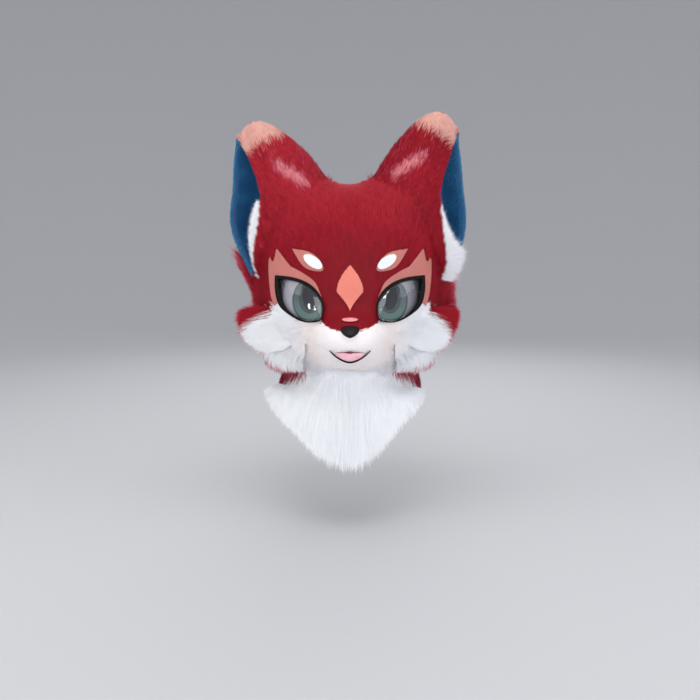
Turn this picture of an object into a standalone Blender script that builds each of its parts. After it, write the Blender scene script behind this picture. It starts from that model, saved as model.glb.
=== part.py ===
"""Fursuit head of a red fox: a hollow padded head with cupped ears, eyes in sockets and long fur fluffs.

Metres, +Z up. The face looks along -Y and +X is on the viewer's right. The origin is the top of the
hollow, where the head rests on its wearer's crown.
"""

import math

import bpy
import numpy as np

# driving sizes
WALL = 0.012
CLEARANCE = 0.0006
FABRIC = 0.0016
CROWN_CENTRE_Z = -0.152
CROWN_HALF_HEIGHT = 0.164
NECK_SPLIT_Z = -0.336
NECK_RIM_Z = -0.402
COLLAR_WALL = 0.008
AROUND = 40
FACE_CROWDING = 0.35
BLEND = 0.010

# gaps that pieces keep over the skin
NOSE_SEAT = 0.0005
ROOT_SEAT = 0.0008
EAR_SEAT = 0.0010
LINING_SEAT = 0.0010
FACE_SEAT = 0.0013
FUR_SEAT = 0.0040

# back and front of the patches sewn on the face, over the skin
PATCH = (FACE_SEAT, FACE_SEAT + FABRIC)
NOSE_PATCH = (NOSE_SEAT, NOSE_SEAT + FABRIC)

# heights of the rows of the padded wall from the widest part down to the neck
OUTER_ROWS_Z = (-0.168, -0.184, -0.198, -0.210, -0.221, -0.232, -0.244, -0.258,
                -0.272, -0.286, -0.299, -0.311, -0.322, -0.330)
INNER_ROWS_Z = (-0.185, -0.206, -0.224, -0.242, -0.262, -0.286, -0.308, -0.324)

# rounded forms that blend into the head
# columns: centre y, centre z, half width, half depth, half height, power
HEAD_FORMS = {
    "cranium": (0.000, CROWN_CENTRE_Z, 0.166, 0.165, CROWN_HALF_HEIGHT, 2.1),
    "cheeks": (-0.030, -0.212, 0.152, 0.122, 0.098, 2.4),
    "muzzle": (-0.133, -0.262, 0.062, 0.080, 0.046, 2.0),
    "jaw": (-0.075, -0.280, 0.092, 0.094, 0.056, 2.0),
    "neck": (-0.003, -0.400, 0.138, 0.122, 0.150, 2.0),
}

# eye outline seen from the front, from the outer top corner round by the nose and back
# columns: x, z, width of the black rim
EYE_OUTLINE = (
    (0.1340, -0.1560, 0.0050),
    (0.1010, -0.1585, 0.0045),
    (0.0750, -0.1670, 0.0045),
    (0.0570, -0.1815, 0.0040),
    (0.0470, -0.2000, 0.0025),
    (0.0465, -0.2180, 0.0018),
    (0.0530, -0.2320, 0.0018),
    (0.0800, -0.2360, 0.0018),
    (0.1070, -0.2250, 0.0028),
    (0.1265, -0.2065, 0.0060),
    (0.1335, -0.1830, 0.0075),
    (0.1340, -0.1560, 0.0050),
)
EYE_CENTRE = (0.088, -0.199)
IRIS_CENTRE = (0.072, -0.196)
IRIS_HALF = (0.028, 0.035)
PUPIL_CENTRE = (0.070, -0.192)
PUPIL_HALF = (0.014, 0.024)
SOCKET_DEPTH = 0.009
DOME_RISE = 0.005
EYE_FIT = 0.0005
IRIS_MARGIN = 0.0020
EYELID_GAP = 0.0012

# layers of the eye
# columns: height of the back over the skin, height of the front
EYE_LAYERS = {
    "base": (-0.0082, -0.0066),
    "iris": (-0.0058, -0.0048),
    "pupil": (-0.0040, -0.0030),
    "dome": (-0.0010, 0.0010),
    "rim": (0.0018, 0.0048),
}

# outer edge of the peach eyelid, from the inner eye corner over the top and down the outer side
# columns: x, z
EYELID_EDGE = (
    (0.0500, -0.1880),
    (0.0620, -0.1640),
    (0.0890, -0.1460),
    (0.1170, -0.1320),
    (0.1310, -0.1085),
    (0.1365, -0.1280),
    (0.1465, -0.1520),
    (0.1445, -0.1860),
    (0.1380, -0.2100),
)

# brow leaf, from its pointed outer tip along the top edge and back
# columns: x, z
BROW_LEAF = (
    (0.1020, -0.1080),
    (0.0700, -0.1140),
    (0.0520, -0.1280),
    (0.0465, -0.1440),
    (0.0620, -0.1455),
    (0.0820, -0.1370),
    (0.1020, -0.1080),
)
BROW_SPOT_CENTRE = (0.0640, -0.1300)
BROW_SPOT_HALF = (0.0185, 0.0088)
BROW_SPOT_TILT = math.radians(33)

DIAMOND_TOP_Z = -0.1365
DIAMOND_WIDEST_Z = -0.1820
DIAMOND_BOTTOM_Z = -0.2140
DIAMOND_HALF_WIDTH = 0.0225
DIAMOND_TOP_POWER = 0.9
DIAMOND_BOTTOM_POWER = 1.1
BAR_CENTRE_Z = -0.2270
BAR_HALF = (0.0135, 0.0028)

# right half of the nose outline, from the top middle to the bottom point
# columns: x, z
NOSE_HALF_OUTLINE = (
    (0.0000, -0.2365),
    (0.0100, -0.2372),
    (0.0158, -0.2410),
    (0.0140, -0.2480),
    (0.0075, -0.2535),
    (0.0000, -0.2565),
)
NOSE_RISE = 0.010

MOUTH_HALF_WIDTH = 0.035
MOUTH_CORNER_Z = -0.2805
MOUTH_BOTTOM_Z = -0.3025
MOUTH_CURVE_POWER = 1.7
LIP_HALF_WIDTH = 0.0016
LIP_FRONT = 0.0032
TONGUE_HALF_WIDTH = 0.0240
TONGUE_TOP_Z = -0.2830
TONGUE_ARCH = 0.0020
TONGUE_GAP = 0.0008
TONGUE_LEAST_HEIGHT = 0.0010
TONGUE_FRONT = 0.0022

# ear wall as lines that run from the head over the ear to the edge of its opening
# columns: place from the front foot (0) to the back foot (1), then x, y, z of four points:
# on the head, rising, shoulder and opening edge
EAR_LINES = (
    (0.00, (0.160, -0.014, -0.178), (0.164, -0.016, -0.178), (0.168, -0.017, -0.178), (0.172, -0.016, -0.178)),
    (0.16, (0.150, -0.052, -0.105), (0.156, -0.057, -0.103), (0.161, -0.056, -0.100), (0.166, -0.050, -0.098)),
    (0.32, (0.098, -0.066, -0.030), (0.120, -0.067, -0.012), (0.141, -0.061, -0.005), (0.160, -0.048, -0.008)),
    (0.50, (0.036, -0.005, 0.008), (0.092, -0.006, 0.072), (0.158, 0.004, 0.118), (0.200, 0.014, 0.094)),
    (0.68, (0.098, 0.066, -0.030), (0.130, 0.082, 0.000), (0.182, 0.085, 0.018), (0.226, 0.064, 0.010)),
    (0.84, (0.146, 0.062, -0.100), (0.172, 0.086, -0.088), (0.204, 0.090, -0.080), (0.230, 0.066, -0.076)),
    (1.00, (0.160, 0.012, -0.176), (0.166, 0.018, -0.178), (0.174, 0.021, -0.180), (0.182, 0.020, -0.180)),
)
EAR_WALL = 0.009
EAR_TIP_RISE = {"left": -0.008, "right": 0.010}
EAR_RISE_FROM_Z = 0.020
EAR_RISE_HEIGHT = 0.090
EAR_GRID = (21, 7)
EAR_CURVE_STEPS = 240
LINING_COLUMNS = slice(3, -2)
LINING_INSET = 0.11
FLOOR_SHARES = (0.10, 0.30, 0.50, 0.70, 0.90)

# fur fans: rows from one end of the fan to the other
# columns: root angle from the front, root z, tip angle, tip z, tip distance from the vertical axis
CHEEK_FLUFF = (
    (60, -0.212, 82, -0.230, 0.222),
    (56, -0.235, 80, -0.258, 0.216),
    (51, -0.258, 74, -0.288, 0.200),
    (44, -0.276, 64, -0.306, 0.174),
)
JAW_FLUFF = (
    (72, -0.288, 78, -0.326, 0.160),
    (58, -0.292, 64, -0.338, 0.168),
    (44, -0.296, 50, -0.342, 0.158),
    (30, -0.302, 34, -0.334, 0.146),
)
BIB = (
    (58, -0.368, 66, -0.394, 0.156),
    (40, -0.360, 46, -0.430, 0.162),
    (16, -0.354, 22, -0.478, 0.158),
    (-4, -0.352, -5, -0.514, 0.152),
    (-24, -0.354, -30, -0.478, 0.160),
    (-48, -0.360, -54, -0.430, 0.168),
    (-66, -0.368, -75, -0.392, 0.174),
)
SIDE_LOCK = {
    "left": (
        (106, -0.205, 108, -0.106, 0.258),
        (103, -0.222, 104, -0.185, 0.214),
        (98, -0.240, 98, -0.228, 0.202),
    ),
    "right": (
        (106, -0.195, 106, -0.142, 0.224),
        (103, -0.215, 103, -0.190, 0.214),
        (98, -0.240, 93, -0.244, 0.216),
    ),
}
# white tuft on the front edge of the ear opening
# columns: place of the root along the edge from the front foot (0) to the back foot (1), tip x, y, z
EAR_TUFT = (
    (0.32, 0.1850, -0.0330, -0.0080),
    (0.24, 0.2050, -0.0370, -0.0680),
    (0.16, 0.2120, -0.0340, -0.1200),
    (0.08, 0.1930, -0.0300, -0.1640),
)
TUFT_SEAT = 0.0100

# make of the fur fans
# columns: thickness, locks, rows, lift of the middle
FANS = {
    "cheek_fluff": (0.026, 5, 3, 0.004),
    "jaw_fluff": (0.020, 4, 3, 0.006),
    "side_lock": (0.016, 3, 3, 0.002),
    "ear_tuft": (0.010, 3, 3, 0.004),
    "bib": (0.022, 9, 3, 0.010),
}
FAN_EDGE = 0.0015
GROOVE_REACH = 0.72
GROOVE_THICKNESS = 0.65

SIDES = {"left": -1.0, "right": 1.0}

# colours as linear red, green, blue, then roughness
FINISHES = {
    "red_fur": ((0.30, 0.010, 0.022), 0.9),
    "white_fur": ((0.86, 0.86, 0.90), 0.9),
    "blue_plush": ((0.008, 0.055, 0.140), 0.9),
    "peach_plush": ((0.70, 0.27, 0.22), 0.9),
    "pink_plush": ((0.80, 0.40, 0.44), 0.8),
    "black_felt": ((0.025, 0.018, 0.016), 0.7),
    "black_gloss": ((0.027, 0.018, 0.026), 0.3),
    "eye_print": ((0.36, 0.35, 0.40), 0.4),
    "iris_print": ((0.10, 0.16, 0.17), 0.4),
    "pupil_print": ((0.035, 0.038, 0.045), 0.4),
    "clear_dome": ((0.80, 0.85, 0.88), 0.05),
}


def finish(name):
    """Return the material of that name, made on first use."""
    material = bpy.data.materials.get(name)
    if material:
        return material
    colour, roughness = FINISHES[name]
    material = bpy.data.materials.new(name)
    material.use_nodes = True
    shader = material.node_tree.nodes["Principled BSDF"]
    shader.inputs["Base Color"].default_value = (*colour, 1.0)
    shader.inputs["Roughness"].default_value = roughness
    shader.inputs["Metallic"].default_value = 0.0
    material.diffuse_color = (*colour, 1.0)
    return material


def skin_distance(points):
    """Distance of points from the head's skin, negative inside, as a smooth union of the forms."""
    total = 0.0
    for centre_y, centre_z, half_x, half_y, half_z, power in HEAD_FORMS.values():
        half = np.array((half_x, half_y, half_z))
        q = np.abs((points - (0.0, centre_y, centre_z)) / half) + 1e-9
        size = (q**power).sum(-1) ** (1 / power)
        slope = size ** (1 - power) * np.sqrt(((q ** (power - 1) / half) ** 2).sum(-1))
        total = total + np.exp(-np.clip((size - 1) / slope, -0.5, 0.5) / BLEND)
    return -BLEND * np.log(total)


def crossing(inside, outside, level):
    """Points between two arrays of points where the distance from the skin is level."""
    for _ in range(36):
        middle = (inside + outside) / 2
        beyond = (skin_distance(middle) > level)[..., None]
        outside = np.where(beyond, middle, outside)
        inside = np.where(beyond, inside, middle)
    return (inside + outside) / 2


def around_head(angle, z, level):
    """Points at an angle from the front and a height, that far outside the skin."""
    angle, z, level = np.broadcast_arrays(*(np.asarray(v, float) for v in (angle, z, level)))
    axis = np.stack([0 * z, 0 * z, z], -1)
    way = np.stack([np.sin(angle), -np.cos(angle), 0 * z], -1)
    return crossing(axis, axis + way * 0.6, level)


def on_face(flat, level):
    """Points seen from the front at x and z, that far outside the skin."""
    x, z = np.moveaxis(np.asarray(flat, float), -1, 0)
    level = np.broadcast_to(np.asarray(level, float), x.shape)
    return crossing(np.stack([x, 0 * x, z], -1), np.stack([x, 0 * x - 0.5, z], -1), level)


def clear_of_head(points, least):
    """Push points that are nearer the skin than least straight out from the cranium's middle."""
    return np.where((skin_distance(points) < least)[..., None], on_skin(points, least), points)


def on_skin(points, level):
    """Move points along lines from the cranium's middle until they are that far outside the skin."""
    middle = np.broadcast_to(np.array((0.0, 0.0, CROWN_CENTRE_Z)), points.shape)
    way = points - middle
    way = way / np.linalg.norm(way, axis=-1, keepdims=True)
    return crossing(middle + way * 0.02, middle + way * 0.6, level)


def smooth(points, count):
    """Return count points evenly placed along a smooth curve through the given rows."""
    rows = np.asarray(points, float)
    ends = np.vstack([2 * rows[0] - rows[1], rows, 2 * rows[-1] - rows[-2]])
    place = np.linspace(0, len(rows) - 1 - 1e-9, count)
    step = place.astype(int)
    t = (place - step)[:, None]
    a, b, c, d = (ends[step + k] for k in range(4))
    return 0.5 * (2 * b + (c - a) * t + (2 * a - 5 * b + 4 * c - d) * t**2 + (3 * b - a - 3 * c + d) * t**3)


def inset(outline, width):
    """Move each point of a closed flat outline inwards by its width."""
    ahead = np.roll(outline, -1, axis=0) - np.roll(outline, 1, axis=0)
    ahead = ahead / np.linalg.norm(ahead, axis=1, keepdims=True)
    inward = np.stack([-ahead[:, 1], ahead[:, 0]], -1)
    turning = np.sum(outline[:, 0] * np.roll(outline[:, 1], -1) - outline[:, 1] * np.roll(outline[:, 0], -1))
    return outline + inward * math.copysign(1.0, turning) * np.reshape(width, (-1, 1))


def ellipse(centre, half, count, tilt=0.0):
    """Return a closed flat ellipse."""
    turn = np.linspace(0, 2 * math.pi, count, endpoint=False)
    x = half[0] * np.cos(turn)
    z = half[1] * np.sin(turn)
    flat = np.stack([x * math.cos(tilt) - z * math.sin(tilt), x * math.sin(tilt) + z * math.cos(tilt)], -1)
    return flat + centre


def solid(name, outer, inner, material, closed=False, pole=False):
    """Build a closed solid between two grids of points that have the same columns.

    The first row is a single point of a closed grid where pole is true.
    """
    verts = []
    grids = []
    for grid in (outer, inner):
        rows = []
        for number, row in enumerate(grid):
            if pole and number == 0:
                rows.append([len(verts)] * len(row))
                verts.append(tuple(row[0]))
            else:
                rows.append(list(range(len(verts), len(verts) + len(row))))
                verts.extend(map(tuple, row))
        grids.append(rows)
    columns = len(outer[0])
    faces = []

    def strip(first, second, flip):
        for k in range(columns if closed else columns - 1):
            after = (k + 1) % columns
            for face in ((first[k], first[after], second[after]), (first[k], second[after], second[k])):
                if len(set(face)) == 3:
                    faces.append(face[::-1] if flip else face)

    for rows, flip in zip(grids, (False, True)):
        for first, second in zip(rows, rows[1:]):
            strip(first, second, flip)
    strip(grids[0][-1], grids[1][-1], False)
    if not pole:
        strip(grids[0][0], grids[1][0], True)
    if not closed:
        for k, flip in ((0, False), (-1, True)):
            for number in range(len(outer) - 1):
                face = [grids[g][number + n][k] for g, n in ((0, 0), (0, 1), (1, 1), (1, 0))]
                faces.append(face[::-1] if flip else face)
    mesh = bpy.data.meshes.new(name)
    mesh.from_pydata(verts, [], faces)
    if signed_volume(mesh) < 0:
        mesh.flip_normals()
    mesh.materials.append(finish(material))
    item = bpy.data.objects.new(name, mesh)
    bpy.context.collection.objects.link(item)
    return item


def signed_volume(mesh):
    """Volume of a closed mesh, negative where its faces look inwards."""
    mesh.calc_loop_triangles()
    total = 0.0
    for triangle in mesh.loop_triangles:
        a, b, c = (mesh.vertices[k].co for k in triangle.vertices)
        total += a.dot(b.cross(c)) / 6
    return total


def pad(name, outline, centre, layer, rings, material, rise=0.0, hollow=False):
    """Build a closed pad that follows the face between the two heights over the skin of its layer.

    rise lifts the middle of the front into a dome, and of the back too where it is hollow.
    """
    back, front = layer
    shares = np.linspace(0, 1, rings + 1)
    flat = np.array([centre + share * (outline - centre) for share in shares])
    lift = rise * (1 - shares**2)[:, None]
    outer = on_face(flat, front + lift)
    inner = on_face(flat, back + lift * hollow)
    return solid(name, outer, inner, material, closed=True, pole=True)


def band(name, near, far, layer, rows, material, closed=False):
    """Build a strip that follows the face between two flat curves and the two heights of its layer."""
    back, front = layer
    shares = np.linspace(0, 1, rows + 1)
    flat = np.array([near + share * (far - near) for share in shares])
    return solid(name, on_face(flat, front), on_face(flat, back), material, closed=closed)


def fan(name, kind, root, tip, side, material):
    """Build a fan of fused fur locks from a root curve to a tip curve, in three dimensions.

    Every lock is four columns wide. Its middle reaches the tip curve and the grooves between locks
    stop short. The curves run so that the cross product of across and along, times side, faces out.
    """
    thickness, locks, rows, lift = FANS[kind]
    columns = 4 * locks + 1
    start = smooth(root, columns)
    end = smooth(tip, columns)
    lock = 0.5 - 0.5 * np.cos(2 * math.pi * locks * np.linspace(0, 1, columns))
    reach = GROOVE_REACH + (1 - GROOVE_REACH) * lock
    along = np.linspace(0, 1, rows + 1)[:, None, None]
    shape = start + (end - start) * along * reach[:, None]
    normal = np.cross(np.gradient(shape, axis=1), np.gradient(shape, axis=0)) * side
    normal = normal / np.linalg.norm(normal, axis=-1, keepdims=True)
    inner = shape + normal * lift * 4 * along * (1 - along)
    taper = (1 - along[..., 0]) ** 0.8 * (GROOVE_THICKNESS + (1 - GROOVE_THICKNESS) * lock)
    outer = inner + normal * (FAN_EDGE + thickness * taper)[..., None]
    inner[1:] = clear_of_head(inner[1:], FUR_SEAT)
    outer = clear_of_head(outer, FUR_SEAT + FABRIC)
    return solid(name, outer, inner, material)


def head_fan(name, kind, table, side, material, seat=ROOT_SEAT):
    """Build a fur fan that is rooted on the skin and ends at its table's tips."""
    root_angle, root_z, tip_angle, tip_z, distance = np.array(table).T
    root = around_head(np.radians(root_angle) * side, root_z, seat)
    turn = np.radians(tip_angle) * side
    tip = np.stack([distance * np.sin(turn), -distance * np.cos(turn), tip_z], -1)
    return fan(name, kind, root, tip, side, material)


def columns_around():
    """Angles round the head from the front, closer together on the face."""
    turn = np.linspace(0, 2 * math.pi, AROUND, endpoint=False)
    return turn - FACE_CROWDING * np.sin(turn)


def head_grid(level, upper, lower):
    """Rows of points from the crown down to the neck split, that far outside the skin."""
    rise = np.cos(np.linspace(0, math.pi / 2, upper + 1))
    crown = CROWN_CENTRE_Z + (CROWN_HALF_HEIGHT + level) * rise[1:]
    heights = np.concatenate([crown, lower, (NECK_SPLIT_Z,)])
    body = around_head(columns_around()[None, :], heights[:, None], level)
    top = np.zeros((1, AROUND, 3)) + (0.0, 0.0, CROWN_CENTRE_Z + CROWN_HALF_HEIGHT + level)
    return np.concatenate([top, body])


def build_head_shell():
    """Padded wall of the head with a socket cut for each eye."""
    outer = head_grid(0.0, 8, OUTER_ROWS_Z)
    inner = head_grid(-WALL, 6, INNER_ROWS_Z)
    shell = solid("head_shell", outer, inner, "red_fur", closed=True, pole=True)
    for side_name, side in SIDES.items():
        name = f"cutter_socket_{side_name}"
        centre = flat_point(EYE_CENTRE, side)
        cutter = pad(name, eye_hole(side), centre, (-SOCKET_DEPTH, WALL), 2, "eye_print")
        cutter.hide_render = True
        cutter.display_type = "WIRE"
        cut = shell.modifiers.new(f"socket_{side_name}", "BOOLEAN")
        cut.operation = "DIFFERENCE"
        cut.solver = "EXACT"
        cut.object = cutter


def build_collar():
    """Soft neck below the head, open at the bottom."""
    angles = columns_around()[None, :]
    heights = np.linspace(NECK_SPLIT_Z - CLEARANCE / 2, NECK_RIM_Z, 4)[:, None]
    outer = around_head(angles, heights, 0.0)
    inner = around_head(angles, heights[[0, 3]], -COLLAR_WALL)
    solid("neck_collar", outer, inner, "red_fur", closed=True)


def flat_point(point, side):
    """Mirror a flat point to its side of the face."""
    return np.array(point) * (side, 1.0)


def eye_edge(side):
    """Outline of the eye's black rim seen from the front, and the rim's width at each point."""
    rows = smooth(EYE_OUTLINE, 25)[:-1]
    return rows[:, :2] * (side, 1.0), rows[:, 2]


def eye_hole(side):
    """Outline of the socket, which is the inner edge of the black rim."""
    outline, width = eye_edge(side)
    return inset(outline, width)


def clipped(outline, centre, hole):
    """Draw the points of an outline in towards its centre until they lie inside the hole."""
    spokes = outline - centre
    shares = np.linspace(0.02, 1, 50)
    kept = []
    for spoke in spokes:
        trial = centre + shares[:, None] * spoke
        good = inside_outline(trial, hole)
        kept.append(trial[good][-1])
    return np.array(kept)


def inside_outline(points, outline):
    """True where a flat point lies inside a closed outline."""
    x, z = points[:, :1], points[:, 1:]
    x0, z0 = outline.T
    x1, z1 = np.roll(outline, -1, axis=0).T
    crosses = ((z0 > z) != (z1 > z)) & (x < (x1 - x0) * (z - z0) / (z1 - z0 + 1e-12) + x0)
    return crosses.sum(1) % 2 == 1


def build_eye(side_name, side):
    """Printed layers at the bottom of the socket, a clear dome over them and the black rim."""
    outline, _ = eye_edge(side)
    hole = eye_hole(side)
    snug = inset(hole, EYE_FIT)
    inner_edge = inset(hole, IRIS_MARGIN)
    centre = flat_point(EYE_CENTRE, side)
    iris_centre = flat_point(IRIS_CENTRE, side)
    pupil_centre = flat_point(PUPIL_CENTRE, side)
    iris = clipped(ellipse(iris_centre, IRIS_HALF, 18), iris_centre, inner_edge)
    pupil = clipped(ellipse(pupil_centre, PUPIL_HALF, 14), pupil_centre, inner_edge)
    pad(f"eye_base_{side_name}", snug, centre, EYE_LAYERS["base"], 2, "eye_print")
    pad(f"eye_iris_{side_name}", iris, iris_centre, EYE_LAYERS["iris"], 2, "iris_print")
    pad(f"eye_pupil_{side_name}", pupil, pupil_centre, EYE_LAYERS["pupil"], 1, "pupil_print")
    dome = EYE_LAYERS["dome"]
    pad(f"eye_dome_{side_name}", snug, centre, dome, 2, "clear_dome", rise=DOME_RISE, hollow=True)
    band(f"eye_rim_{side_name}", outline, hole, EYE_LAYERS["rim"], 1, "black_felt", closed=True)


def build_eyelid(side_name, side):
    """Peach patch that wraps over the top and outer side of the eye."""
    outline, _ = eye_edge(side)
    grown = inset(outline, -EYELID_GAP)
    top_from_nose = grown[8:0:-1]
    outer_side = grown[:19:-1]
    near = np.concatenate([top_from_nose, grown[:1], outer_side])
    far = smooth(EYELID_EDGE, len(near)) * (side, 1.0)
    band(f"eyelid_{side_name}", near, far, PATCH, 3, "peach_plush")


def build_brow(side_name, side):
    """Peach leaf over the eye with a white oval on it."""
    leaf = smooth(BROW_LEAF, 15)[:-1] * (side, 1.0)
    spot_centre = flat_point(BROW_SPOT_CENTRE, side)
    spot = ellipse(spot_centre, BROW_SPOT_HALF, 14, BROW_SPOT_TILT * side)
    over = PATCH[1] + CLEARANCE
    pad(f"brow_patch_{side_name}", leaf, spot_centre, PATCH, 2, "peach_plush")
    pad(f"brow_spot_{side_name}", spot, spot_centre, (over, over + FABRIC), 1, "white_fur")


def build_face_marks():
    """Diamond and bar on the bridge of the nose."""
    share = np.linspace(0, 1, 6)
    upper_x = DIAMOND_HALF_WIDTH * np.sin(share**DIAMOND_TOP_POWER * math.pi / 2)
    lower_x = DIAMOND_HALF_WIDTH * (1 - share) ** DIAMOND_BOTTOM_POWER
    upper_z = DIAMOND_TOP_Z + (DIAMOND_WIDEST_Z - DIAMOND_TOP_Z) * share
    lower_z = DIAMOND_WIDEST_Z + (DIAMOND_BOTTOM_Z - DIAMOND_WIDEST_Z) * share
    right = np.stack([np.append(upper_x, lower_x[1:]), np.append(upper_z, lower_z[1:])], -1)
    outline = np.concatenate([right, right[-2:0:-1] * (-1.0, 1.0)])
    middle = np.array((0.0, DIAMOND_WIDEST_Z))
    pad("forehead_diamond", outline, middle, PATCH, 2, "peach_plush")
    bar_centre = np.array((0.0, BAR_CENTRE_Z))
    bar = ellipse(bar_centre, BAR_HALF, 12)
    pad("nose_bar", bar, bar_centre, NOSE_PATCH, 1, "pink_plush")


def build_nose():
    """Black nose pad."""
    half = smooth(NOSE_HALF_OUTLINE, 10)
    outline = np.concatenate([half, half[-2:0:-1] * (-1.0, 1.0)])
    middle = np.array((0.0, outline[:, 1].mean()))
    pad("nose", outline, middle, NOSE_PATCH, 2, "black_gloss", rise=NOSE_RISE)


def lip_z(x):
    """Height of the smile line at x."""
    rise = np.abs(x / MOUTH_HALF_WIDTH) ** MOUTH_CURVE_POWER
    return MOUTH_BOTTOM_Z + (MOUTH_CORNER_Z - MOUTH_BOTTOM_Z) * rise


def build_mouth():
    """Black smile line with the pink tongue above it."""
    x = MOUTH_HALF_WIDTH * np.linspace(-1, 1, 19)
    line = np.stack([x, lip_z(x)], -1)
    ahead = np.gradient(line, axis=0)
    ahead = ahead / np.linalg.norm(ahead, axis=1, keepdims=True)
    across = np.stack([-ahead[:, 1], ahead[:, 0]], -1)
    half = LIP_HALF_WIDTH * (0.35 + 0.65 * np.cos(x / MOUTH_HALF_WIDTH * math.pi / 2))[:, None]
    band("lip_line", line - across * half, line + across * half, (FACE_SEAT, LIP_FRONT), 1, "black_felt")
    x = TONGUE_HALF_WIDTH * np.linspace(-1, 1, 11)
    over_lip = lip_z(x) + LIP_HALF_WIDTH + TONGUE_GAP
    low = np.stack([x, np.minimum(over_lip, TONGUE_TOP_Z - TONGUE_LEAST_HEIGHT)], -1)
    high = np.stack([x, TONGUE_TOP_Z + TONGUE_ARCH * np.cos(x / TONGUE_HALF_WIDTH * math.pi / 2)], -1)
    band("tongue", low, high, (FACE_SEAT, TONGUE_FRONT), 2, "pink_plush")


def ear_surface(side_name, side):
    """Middle surface of the ear wall and its normals, which point out of the cup."""
    count, rows = EAR_GRID
    places = np.array([line[0] for line in EAR_LINES])
    points = np.array([line[1:] for line in EAR_LINES])
    even = np.interp(np.linspace(0, 1, count), places, np.arange(len(places)))
    dense = smooth(points.reshape(len(places), -1), EAR_CURVE_STEPS + 1)
    step = np.round(even * EAR_CURVE_STEPS / (len(places) - 1)).astype(int)
    surface = np.stack([smooth(line, rows) for line in dense[step].reshape(count, 4, 3)], axis=1)
    height = np.clip((surface[..., 2] - EAR_RISE_FROM_Z) / EAR_RISE_HEIGHT, 0, 1)
    surface[..., 2] += EAR_TIP_RISE[side_name] * height
    surface[..., 0] *= side
    normal = np.cross(np.gradient(surface, axis=0), np.gradient(surface, axis=1)) * side
    return surface, normal / np.linalg.norm(normal, axis=-1, keepdims=True)


def trimmed(grid):
    """Draw the first and last rows of a grid of points in a little."""
    drawn = grid.copy()
    drawn[0] += (grid[1] - grid[0]) * LINING_INSET
    drawn[-1] += (grid[-2] - grid[-1]) * LINING_INSET
    return drawn


def build_ear(side_name, side):
    """Padded ear wall standing on the head, its blue lining and its white tuft."""
    surface, normal = ear_surface(side_name, side)
    outer = clear_of_head(surface + normal * EAR_WALL / 2, EAR_SEAT)
    inner = clear_of_head(surface - normal * EAR_WALL / 2, EAR_SEAT)
    for grid in (outer, inner):
        grid[0] = on_skin(grid[0], EAR_SEAT)
    solid(f"ear_{side_name}", outer, inner, "red_fur")
    lining_back = trimmed(inner - normal * LINING_SEAT)[:, LINING_COLUMNS]
    lining_face = trimmed(inner - normal * (LINING_SEAT + FABRIC))[:, LINING_COLUMNS]
    solid(f"ear_lining_{side_name}", lining_back, lining_face, "blue_plush")
    build_ear_floor(side_name, inner[0])
    rows = np.array(EAR_TUFT)
    places = rows[:, 0] * (surface.shape[1] - 1)
    columns = np.arange(surface.shape[1])
    onward = surface[-1] - surface[-2]
    edge = surface[-1] + onward / np.linalg.norm(onward, axis=-1, keepdims=True) * TUFT_SEAT
    root = np.stack([np.interp(places, columns, edge[:, axis]) for axis in range(3)], -1)
    fan(f"ear_tuft_{side_name}", "ear_tuft", root, rows[:, 1:] * (side, 1, 1), side, "white_fur")


def build_ear_floor(side_name, foot):
    """Blue cloth on the side of the head, between the front and back feet of the ear wall."""
    half = len(foot) // 2 - 1
    share = np.reshape(FLOOR_SHARES, (1, -1, 1))
    front = foot[1:half, None]
    back = foot[::-1][1:half, None]
    chords = front + (back - front) * share
    outer = on_skin(chords, FACE_SEAT + FABRIC)
    solid(f"ear_floor_{side_name}", outer, on_skin(chords, FACE_SEAT), "blue_plush")


def build_fur(side_name, side):
    """Cheek and jaw fluffs and the red side lock of one side."""
    head_fan(f"cheek_fluff_{side_name}", "cheek_fluff", CHEEK_FLUFF, side, "white_fur")
    head_fan(f"jaw_fluff_{side_name}", "jaw_fluff", JAW_FLUFF, side, "white_fur")
    head_fan(f"side_lock_{side_name}", "side_lock", SIDE_LOCK[side_name], side, "red_fur")


def build_bib():
    """Long chest fur hanging in front of the collar."""
    head_fan("bib", "bib", BIB, 1.0, "white_fur", seat=FACE_SEAT)


def main():
    for item in list(bpy.data.objects):
        bpy.data.objects.remove(item)
    build_head_shell()
    build_collar()
    build_bib()
    build_face_marks()
    build_nose()
    build_mouth()
    for side_name, side in SIDES.items():
        build_eye(side_name, side)
        build_eyelid(side_name, side)
        build_brow(side_name, side)
        build_ear(side_name, side)
        build_fur(side_name, side)


main()
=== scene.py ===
"""Dressed fursuit head of a red fox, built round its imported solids.

Metres, +Z up. The face looks along -Y and +X is on the viewer's right. The origin is the top of the
hollow, where the head rests on its wearer's crown. Fur is made of blades: narrow tapered strips that
lean over a skin. A map named OFBake colours them: u picks a dye and its shade, v runs from root to tip.
"""

import logging
import math
from dataclasses import dataclass, fields
from enum import Enum
from typing import Any, Self, Sequence

import bpy
import numpy as np
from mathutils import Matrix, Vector


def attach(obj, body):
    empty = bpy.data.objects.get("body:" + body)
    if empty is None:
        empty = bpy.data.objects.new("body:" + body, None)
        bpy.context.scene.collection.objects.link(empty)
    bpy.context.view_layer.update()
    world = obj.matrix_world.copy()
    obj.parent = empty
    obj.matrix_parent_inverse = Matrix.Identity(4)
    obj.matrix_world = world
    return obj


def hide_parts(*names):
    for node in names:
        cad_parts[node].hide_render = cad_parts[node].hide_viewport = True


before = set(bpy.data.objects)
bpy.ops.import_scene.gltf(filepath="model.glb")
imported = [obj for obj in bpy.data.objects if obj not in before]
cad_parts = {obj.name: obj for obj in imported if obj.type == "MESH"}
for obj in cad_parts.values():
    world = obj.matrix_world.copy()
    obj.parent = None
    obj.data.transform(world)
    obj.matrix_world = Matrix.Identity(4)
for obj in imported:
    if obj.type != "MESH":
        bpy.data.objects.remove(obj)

Array = np.ndarray
Pair = tuple[float, float]
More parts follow.
